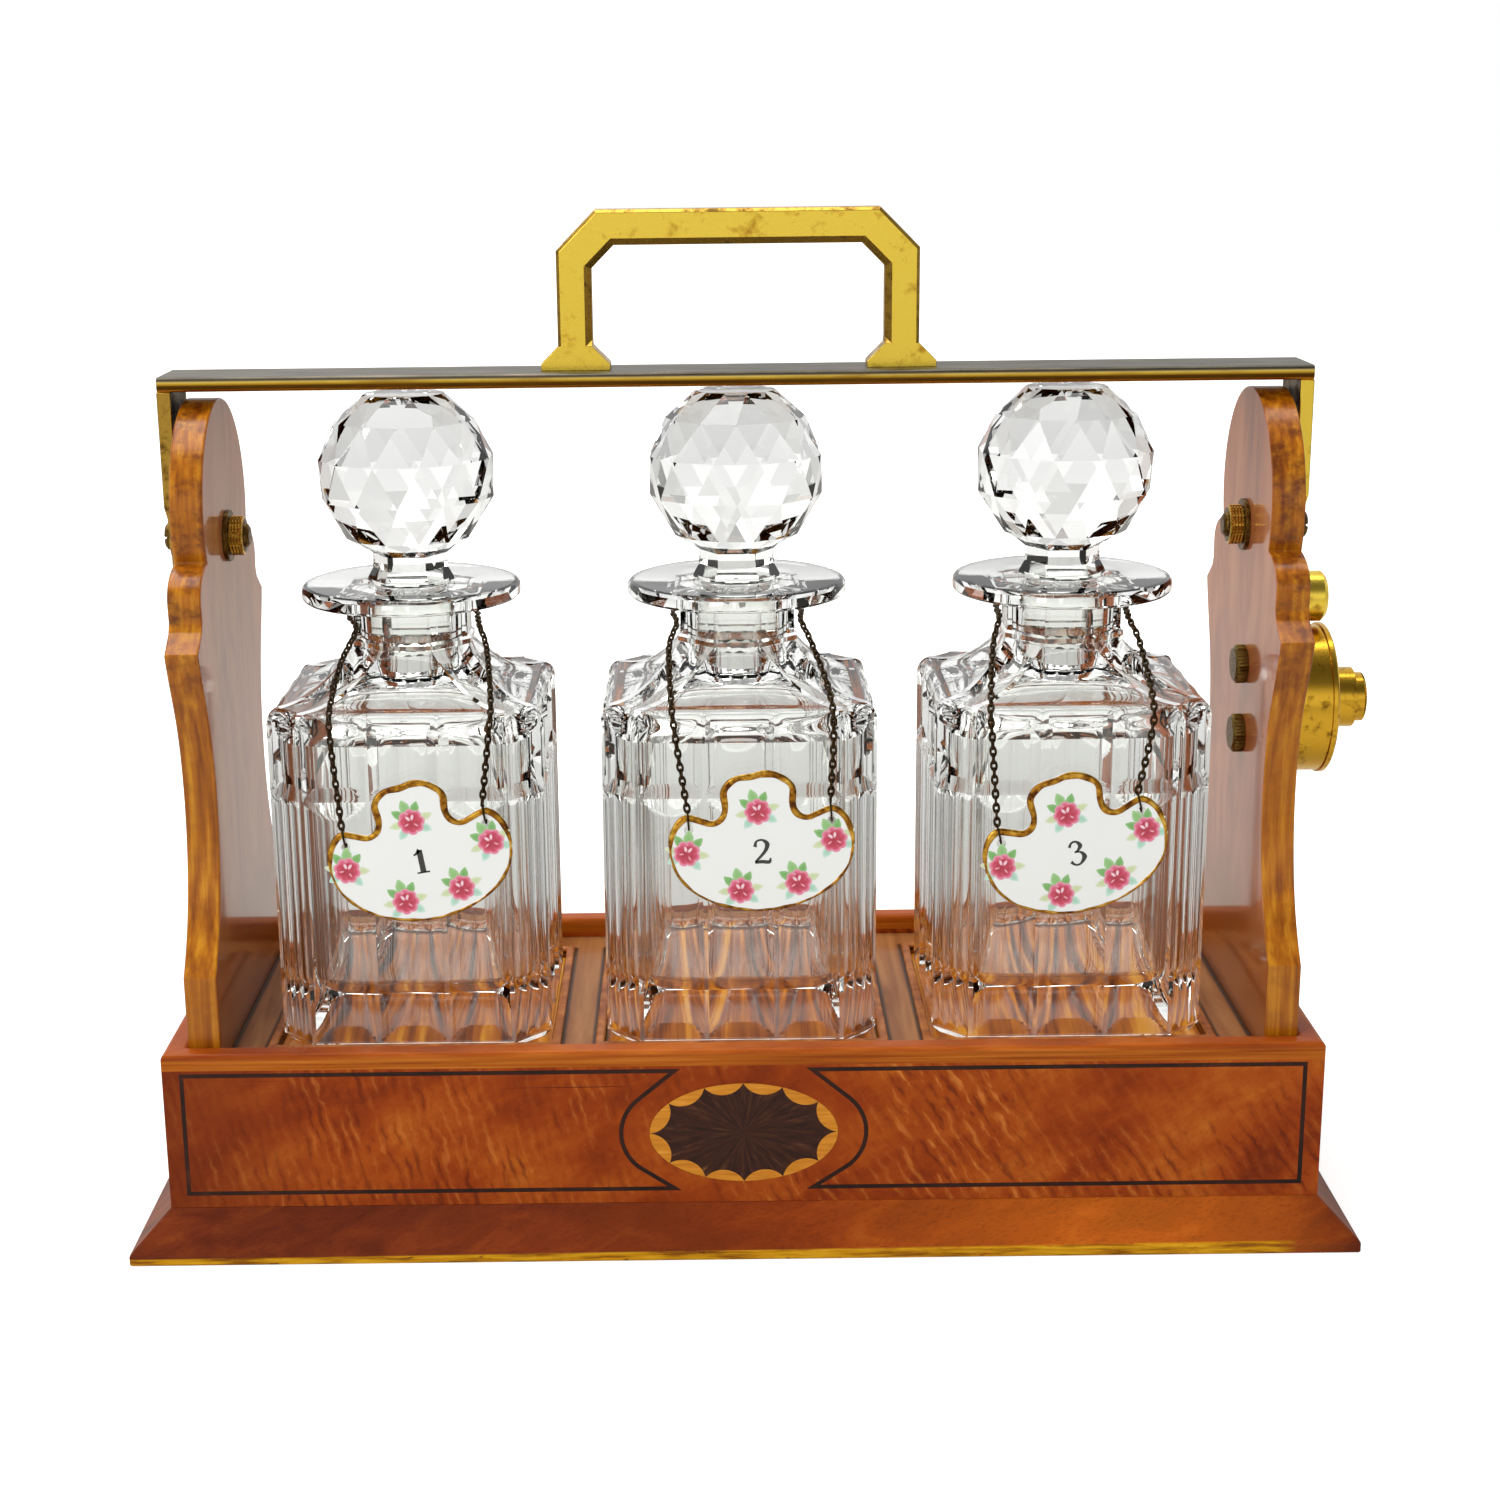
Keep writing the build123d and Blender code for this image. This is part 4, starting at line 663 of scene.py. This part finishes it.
def cut_decanter():
    """Rows of points from the foot's middle, up outside, over the lip and down the bore to the inner base.

    The outside is an octagon of four broad and four corner faces, moved inwards by cut_depth; above its
    rounded rim it runs to the neck's octagon along z = 112.4 + 15 * f ** 2, hollowed by petals.
    """
    edges = np.array([-33, -32, -31.6, -22, -12.4, -11.7, -11, -10.5, 0, 10.5, 11, 11.7, 12.4, 22, 31.6, 32, 33])
    side_u = np.concatenate([np.linspace(a, b, 9 if b - a > 5 else 3)[:-1] for a, b in zip(edges, edges[1:])])
    corner_u = np.linspace(-7.78, 7.78, 31)[:-1]
    u = np.concatenate([side_u, corner_u] * 4)
    corner = np.tile(np.repeat((False, True), (len(side_u), len(corner_u))), 4)
    face = np.repeat(np.arange(4), len(side_u) + len(corner_u))
    turn = np.radians(90 * face + 45 * corner - 90)
    out = np.stack([np.cos(turn), np.sin(turn)], -1)
    along = np.stack([-np.sin(turn), np.cos(turn)], -1)
    far = np.where(corner, 54.45, 44.0)
    full = out * far[:, None] + along * u[:, None]
    share = u / np.where(corner, 7.78, 33.0)
    neck = out * 18.5 + along * (share * 7.66)[:, None]
    angle = np.arctan2(full[:, 1], full[:, 0])
    ring = np.stack([np.cos(angle), np.sin(angle)], -1)
    inner = ring * (36.6 / (np.abs(ring) ** 6).sum(-1) ** (1 / 6))[:, None]
    rows = []

    def row(flat, z):
        rows.append(np.concatenate([flat, np.broadcast_to(z, (len(flat),))[:, None]], -1))

    for r in (0, 20, 34):
        row(ring * r, -0.01)
    row(full * 0.92, -0.01)
    for z in np.concatenate([np.linspace(0.1, 8, 12), np.linspace(12, 74, 12), np.linspace(76, 90, 33),
                             np.linspace(92, 101, 5), np.linspace(102, 107, 10)]):
        depth = np.where(corner, cut_depth(u, z, True), cut_depth(u, z, False))
        inset = max(0.0, 3.0 - z)
        row(full - out * (depth + inset)[:, None], z)
    for a in np.linspace(0, math.pi / 2, 11)[1:]:
        z = 107.0 + 5.4 * math.sin(a)
        depth = np.where(corner, cut_depth(u, z, True), cut_depth(u, z, False))
        row(full - out * (depth + 5.0 - 5.0 * math.cos(a))[:, None], z)
    rim = full - out * 5.0
    for f in np.linspace(0, 1, 26)[1:]:
        petal = np.where(corner, 1.6, 2.4) * (1 - share ** 2) * math.exp(-((f - 0.62) / 0.26) ** 2)
        flat = rim * (1 - f) + neck * f
        row(flat, 112.4 + 15.0 * f ** 2.0 - petal)
    for grow, z in ((0.9, 127.7), (0.9, 129.2), (0.0, 130.0), (0.0, 138.6), (0.5, 139.8), (1.6, 140.5)):
        row(neck + out * grow, z)
    for r, z in ((24, 140.9), (30, 141.3), (33.6, 141.6), (34.8, 142.0), (35.5, 142.8), (35.6, 144.2), (35.5, 145.6),
                 (34.8, 146.6), (33.8, 147.0), (30, 147.15), (22, 147.2), (14.6, 147.2), (13.3, 146.9), (12.9, 146.2),
                 (12.4, 130), (12.1, 120), (12.4, 117.5)):
        row(ring * r, z)
    for f in np.linspace(0, 1, 12)[1:]:
        row(ring * 12.4 * (1 - f) + inner * f, 117.5 - 16.5 * f ** 2.2)
    for z in (90, 70, 50, 30):
        row(inner, z)
    for a in np.linspace(0, math.pi / 2, 10):
        row(inner * (1 - 0.3 * (1 - math.cos(a))), 24.0 - 8.0 * math.sin(a))
    for share_in in (0.55, 0.4, 0.25, 0.1, 0.0):
        row(inner * share_in, 14.4 + 1.6 * (share_in / 0.7) ** 2)
    return np.stack(rows)


blown = cut_decanter()
for i in "123":
    low, high = (1000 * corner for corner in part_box("decanter_" + i))
    middle = np.array([(low.x + high.x) / 2, (low.y + high.y) / 2, low.z])
    bottle = grids("cut_decanter_" + i, (blown + middle)[None] / 1000, wrap=(False, True))
    bottle.data.set_sharp_from_angle(angle=math.radians(13))
    bottle.data.materials.append(crystal)
    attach(bottle, "bottle_" + i)
    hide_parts("decanter_" + i)
    node["stopper_" + i].material_slots[0].material = crystal

# ---------- labels ----------
# Cast porcelain plates under a clear glaze, with rose sprigs and a plain black numeral painted
# on, a lustrous gilt edge that is thickest in the notches, and a hole in each ear for its chain.
def glazed(name, colour, tree_of=None):
    """Colour under a clear glassy glaze; the colour is a hex value, or a socket of the tree."""
    material, tree = tree_of or new_material(name)
    skin = add(tree, "BsdfPrincipled", {"Base Color": colour, "Roughness": 0.2, "Coat Weight": 1.0,
                                        "Coat Roughness": 0.03}).outputs[0]
    add(tree, "OutputMaterial", {"Surface": skin})
    return material


porcelain = glazed("glazed_porcelain", linear("#F4F6F3"))
numeral_black = glazed("black_enamel", linear("#0C0C0E"))
sprig_paint = new_material("painted_sprigs")
paint = add(sprig_paint[1], "Attribute", attribute_name="paint").outputs["Color"]
sprig_paint = glazed("painted_sprigs", paint, sprig_paint)
gilding, tree = new_material("worn_gilding")
rubbed = streaks(tree, (3.2, 3.2, 3.2), detail=6.0, rough=0.65)
colour = add(tree, "ValToRGB", {0: rubbed}, stops=[
    (0.36, "#5A2E0E"), (0.46, "#A06A1A"), (0.6, "#D9A53A"), (0.75, "#F0CC6A")]).outputs[0]
skin = add(tree, "BsdfPrincipled", {"Base Color": colour, "Metallic": 0.85, "Roughness": 0.28}).outputs[0]
add(tree, "OutputMaterial", {"Surface": skin})

label_tilts = (9.5, 3.5, 13.0)
label_shifts = (3.2, 6.1, -2.4)
label_heights = (134.5, 136.5, 134.6)
sprig_places = ((-0.5, 1.6), (-23.8, -10.6), (23.0, -9.2), (-7.6, -24.0), (10.8, -22.6))
sprig_turns = (0, -24, 10, -6, 4)
bottle_x = [500 * sum(corner.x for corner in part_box("decanter_" + i)) for i in "123"]
label_front = 1000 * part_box("label_1")[0].y


def on_label(i, u, v, y):
    """Label millimetres (u along, v up, turned by its tilt) and a depth y, as metres of the frame."""
    t = math.radians(label_tilts[i])
    x = bottle_x[i] + label_shifts[i] + u * math.cos(t) - v * math.sin(t)
    z = label_heights[i] + u * math.sin(t) + v * math.cos(t)
    return np.stack(np.broadcast_arrays(x, y, z), -1) / 1000


def label_outline(i, steps=420):
    """The plate's outline from its own front face: radius against angle about a point in its belly."""
    coords = np.empty(len(node["label_" + i].data.vertices) * 3)
    node["label_" + i].data.vertices.foreach_get("co", coords)
    coords = coords.reshape(-1, 3) * 1000
    t = math.radians(label_tilts[int(i) - 1])
    dx = coords[:, 0] - bottle_x[int(i) - 1] - label_shifts[int(i) - 1]
    dz = coords[:, 2] - label_heights[int(i) - 1]
    u = dx * math.cos(t) + dz * math.sin(t)
    v = dz * math.cos(t) - dx * math.sin(t)
    hole = np.hypot(np.abs(u) - 22.6, v + 3.0) < 1.9
    keep = (coords[:, 1] < label_front + 0.05) & ~hole
    angle = np.arctan2(v[keep] + 8, u[keep])
    radius = np.hypot(u[keep], v[keep] + 8)
    turn = np.linspace(-math.pi, math.pi, steps, endpoint=False)
    order = np.argsort(angle)
    r = np.interp(turn, angle[order], radius[order], period=2 * math.pi)
    return r * np.cos(turn), r * np.sin(turn) - 8


def petals(place, reach, size, angles, inner, outer, layer, sharp=0.0, wave=0.0):
    """Painted petals round a point: discs of radius rho whose width narrows towards their tip.

    Along = size * rho * cos(phi); across = half width * rho * sin(phi) * (1 - sharp * cos(phi)).
    The colour runs from inner to outer with the square of rho, and each lies a hair over the one before.
    """
    rho = np.linspace(0, 1, 5)[None, :, None]
    phi = np.linspace(0, 2 * math.pi, 18, endpoint=False)[None, None, :]
    turn = np.radians(np.asarray(angles, dtype=float))[:, None, None]
    along = reach + size[0] * rho * np.cos(phi)
    across = size[1] * rho * np.sin(phi) * (1 - sharp * np.cos(phi)) * (1 + wave * np.cos(5 * phi))
    u = place[0] + 1.12 * (along * np.cos(turn) - across * np.sin(turn))
    v = place[1] + 1.12 * (along * np.sin(turn) + across * np.cos(turn))
    mix = np.broadcast_to(rho ** 2, u.shape)[..., None]
    over = np.arange(len(turn))[:, None, None] / 10
    lift = np.broadcast_to(label_front - 0.02 - 0.02 * (layer + over), u.shape)
    return np.stack([u, v, lift], -1), (1 - mix) * linear(inner)[:3] + mix * linear(outer)[:3]


def sprig(place, turn):
    """One rose sprig: uneven leaves, a ring of pink petals, crimson inner petals and a pale curl."""
    return [
        petals(place, 4.6, (2.3, 1.45), (turn + 104,), "#8CC274", "#A9D496", 0, sharp=0.4, wave=0.08),
        petals(place, 4.3, (2.0, 1.2), (turn + 66, turn + 142), "#6FB05E", "#96C880", 1, sharp=0.45, wave=0.08),
        petals(place, 4.6, (1.9, 1.1), (turn + 14, turn + 186), "#CDDDA6", "#E4EBCF", 1, sharp=0.5, wave=0.06),
        petals(place, 4.3, (1.9, 1.25), (turn - 32, turn + 228), "#A9D8BE", "#D3EEE2", 0, sharp=0.4, wave=0.08),
        petals(place, 2.3, (1.6, 1.5), range(turn, turn + 360, 45), "#D8456F", "#F0A2BA", 2),
        petals(place, 1.5, (1.6, 1.5), range(turn + 170, turn + 420, 48), "#BE1A42", "#DA4E70", 3),
        petals(place, 0.7, (1.7, 1.5), (turn - 40, turn + 90, turn + 220), "#B01238", "#C42A4C", 4),
        petals(place, 1.4, (0.9, 0.45), (turn + 70, turn + 125), "#FBE3EA", "#E88AA4", 5),
        petals(place, 1.6, (0.8, 0.3), (turn + 205, turn + 320), "#F3B4C4", "#D8506E", 5)]


def brush(points, widths, steps=40):
    """A painted stroke: a smooth run through points, widened across its direction by widths."""
    t = np.linspace(0, len(points) - 1, steps)
    k = np.clip(t.astype(int), 0, len(points) - 2)
    f = (t - k)[:, None]
    p = np.asarray([2 * np.asarray(points[0]) - points[1], *points, 2 * np.asarray(points[-1]) - points[-2]], float)
    a, b, c, d = p[k], p[k + 1], p[k + 2], p[k + 3]
    line = 0.5 * (2 * b + (c - a) * f + (2 * a - 5 * b + 4 * c - d) * f ** 2 + (3 * b - a - 3 * c + d) * f ** 3)
    tangent = np.gradient(line, axis=0)
    across = np.stack([-tangent[:, 1], tangent[:, 0]], -1) / np.linalg.norm(tangent, axis=1)[:, None]
    half = np.interp(t, range(len(widths)), widths)[:, None] / 2
    return np.stack([line - across * half, line, line + across * half], 1)


numerals = {
    "1": (((0, 5.7), (0, 0.2)), (1.35, 1.35), ((-1.5, 4.6), (-0.7, 5.0), (0, 5.8)), (0.4, 0.6, 1.0),
          ((-1.5, 0.18), (1.5, 0.18)), (0.4, 0.4)),
    "2": (((-1.6, 4.2), (-1.2, 5.5), (0.2, 5.8), (1.3, 4.7), (0.6, 2.9), (-1.7, 0.5)), (0.9, 0.5, 0.5, 1.15, 0.8, 0.5),
          ((-1.8, 0.42), (-0.2, 0.5), (1.5, 0.35), (1.95, 1.3)), (0.7, 0.85, 0.9, 0.3)),
    "3": (((-1.5, 4.6), (-0.8, 5.6), (0.3, 5.7), (1.1, 4.6), (0.3, 3.5), (-0.5, 3.2)), (0.7, 0.5, 0.5, 1.1, 0.5, 0.3),
          ((-0.5, 3.2), (0.9, 3.0), (1.6, 1.7), (0.4, 0.2), (-0.9, 0.2), (-1.7, 1.1)), (0.3, 0.5, 1.2, 0.5, 0.5, 0.8))}
for i in "123":
    at = int(i) - 1
    plate = eased("label_" + i, 0.0004, "bottle_label_" + i)
    plate.data.materials.append(porcelain)

    u, v = label_outline(i)
    turn = np.arctan2(v + 8, u)
    du, dv = (np.roll(w, -1) - np.roll(w, 1) for w in (u, v))
    out = np.stack([dv, -du], -1) / np.hypot(du, dv)[:, None]
    notch = 1 / (1 + np.exp(-(v + 7.0) / 2.6))
    half = 0.55 + 0.6 * notch + 0.1 * np.sin(9 * turn + at) + 0.06 * np.sin(23 * turn)
    phi = np.linspace(0, 2 * math.pi, 10, endpoint=False)
    inset = half[:, None] * (np.cos(phi) - 0.7)
    band = on_label(at, u[:, None] + out[:, :1] * inset, v[:, None] + out[:, 1:] * inset,
                    label_front + 0.35 + (0.5 + 0.12 * notch[:, None]) * np.sin(phi))
    gilt = grids("label_gilding_" + i, band[None], wrap=(True, True))
    gilt.data.materials.append(gilding)
    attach(gilt, "bottle_label_" + i)

    painted = [part for place, turned_by in zip(sprig_places, sprig_turns) for part in sprig(place, turned_by)]
    flat = np.concatenate([part[0] for part in painted])
    painting = grids("label_sprigs_" + i, on_label(at, flat[..., 0], flat[..., 1], flat[..., 2]),
                     wrap=(False, True), paint=np.concatenate([part[1] for part in painted]), facing=(0, -1, 0))
    painting.data.materials.append(sprig_paint)
    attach(painting, "bottle_label_" + i)

    strokes = numerals[i]
    lines = np.stack([brush(points, widths) for points, widths in zip(strokes[::2], strokes[1::2])])
    numeral = grids("label_numeral_" + i, on_label(at, 1.35 * lines[..., 0], 1.35 * lines[..., 1] - 15.6, label_front - 0.04),
                    facing=(0, -1, 0))
    numeral.data.materials.append(numeral_black)
    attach(numeral, "bottle_label_" + i)

# ---------- chains ----------
# Oval cable links of plated wire, now almost black, that pass once behind the decanter's neck
# and hang over its shoulders; the last link of each end is longer and hooks into the label.
def links(places, tangents, sides, rolls, half_long, half_wide, wire):
    """Oval rings of wire: half_long along each tangent, half_wide across it, rolled about it."""
    ring = np.linspace(0, 2 * math.pi, 14, endpoint=False)[None, :, None, None]
    tube = np.linspace(0, 2 * math.pi, 6, endpoint=False)[None, None, :, None]
    along = tangents[:, None, None, :]
    flat = (np.cos(rolls)[:, None] * sides + np.sin(rolls)[:, None] * np.cross(tangents, sides))
    thick = np.cross(tangents, flat)[:, None, None, :]
    flat = flat[:, None, None, :]
    long = half_long[:, None, None, None]
    wide = half_wide[:, None, None, None]
    normal = np.cos(ring) * along * wide + np.sin(ring) * flat * long
    normal = normal / np.linalg.norm(normal, axis=-1, keepdims=True)
    centre = long * np.cos(ring) * along + wide * np.sin(ring) * flat
    return places[:, None, None, :] + centre + wire * (np.cos(tube) * normal + np.sin(tube) * thick)


def chain(name, path, pitch, roll, wire=0.42):
    """Links at an even pitch along a path, each a quarter turn from the last."""
    step = np.linalg.norm(np.diff(path, axis=0), axis=1)
    length = np.concatenate([[0], np.cumsum(step)])
    count = max(2, round(length[-1] / pitch))
    at = (np.arange(count) + 0.5) * length[-1] / count
    places = np.stack([np.interp(at, length, path[:, axis]) for axis in range(3)], -1)
    ahead = np.stack([np.interp(at + 0.5, length, path[:, axis]) for axis in range(3)], -1)
    back = np.stack([np.interp(at - 0.5, length, path[:, axis]) for axis in range(3)], -1)
    tangents = (ahead - back) / np.linalg.norm(ahead - back, axis=1)[:, None]
    sides = np.cross(tangents, np.array([0.0, -1.0, 0.25]))
    sides = sides / np.linalg.norm(sides, axis=1)[:, None]
    rolls = np.arange(count) * math.pi / 2 + roll(at / length[-1])
    even = np.ones(count)
    return links(places, tangents, sides, rolls, even * (pitch / 2 + wire), even * 0.84, wire)


def smooth_path(points, steps=160):
    """A curve through points: between two of them, the cubic through both and their neighbours."""
    p = np.asarray(points, float)
    p = np.concatenate([2 * p[:1] - p[1:2], p, 2 * p[-1:] - p[-2:-1]])
    t = np.linspace(0, len(points) - 1, steps)
    k = np.clip(t.astype(int), 0, len(points) - 2)
    f = (t - k)[:, None]
    a, b, c, d = p[k], p[k + 1], p[k + 2], p[k + 3]
    return 0.5 * (2 * b + (c - a) * f + (2 * a - 5 * b + 4 * c - d) * f ** 2 + (3 * b - a - 3 * c + d) * f ** 3)


old_plate = brass("black_chain_plate", "#4A3A26", "#15100A", cover=0.68, rough=0.4, spot_mm=0.8)
loop_z = 193.0
loop_r = 21.2
strands = {
    "1": ((-16.9, -13.3, 191.1), (-20.2, -25.1, 183.5), (-21.7, -38, 175.2), (-21.9, -46.6, 166),
          (23.0, -12.6, 191.5), (25.8, -21.1, 186.0), (28.3, -40.9, 173.4), (27.9, -46.8, 165.5)),
    "2": ((-19.7, -12.3, 191.7), (-22.1, -21.9, 185.5), (-21.3, -42.7, 172.2), (-19.8, -46.8, 160),
          (20.6, -11.7, 192.1), (23.6, -20.2, 186.6), (28.3, -37.9, 175.3), (29.4, -46.8, 165)),
    "3": ((-21.6, -11.4, 192.3), (-24.6, -22.1, 185.4), (-27.6, -44.0, 171.4), (-27.2, -46.8, 160),
          (20.4, -12.6, 191.5), (22.4, -21.6, 185.7), (23.3, -42.5, 172.4), (22.6, -46.8, 163))}
for i in "123":
    at = int(i) - 1
    turn = np.radians(np.linspace(4, 176, 120))
    arc = np.stack([bottle_x[at] + loop_r * np.cos(turn), loop_r * np.sin(turn), np.full(120, loop_z)], -1)
    behind = grids("neck_chain_links_" + i, chain("loop", arc, 2.3, lambda s: 0.78 + 0 * s) / 1000, wrap=(True, True))
    behind.data.materials.append(old_plate)
    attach(behind, "bottle_" + i)
    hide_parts("neck_chain_" + i)

    parts = []
    for side, points in ((-1, strands[i][:4]), (1, strands[i][4:])):
        hook_top = on_label(at, side * 22.6, 3.2, label_front + 0.2) * 1000
        start = (bottle_x[at] + side * loop_r, 0.0, loop_z)
        run = [(bottle_x[at] + x, y, z) for x, y, z in points]
        path = smooth_path([start, *run, tuple(hook_top)])
        parts.append(chain("strand", path, 2.3, lambda s: 0.78 * (1 - s) + 0.1))
        ring = on_label(at, side * 22.6, 0.0, label_front + 1.1) * 1000
        t = math.radians(label_tilts[at])
        parts.append(links(np.array([ring]), np.array([(-math.sin(t), 0, math.cos(t))]), np.array([(0.0, 1.0, 0.0)]),
                           np.array([0.0]), np.array([3.3]), np.array([1.75]), 0.36))
    hung = grids("label_chain_links_" + i, np.concatenate(parts) / 1000, wrap=(True, True))
    hung.data.materials.append(old_plate)
    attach(hung, "bottle_label_" + i)
    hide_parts("label_chain_" + i)
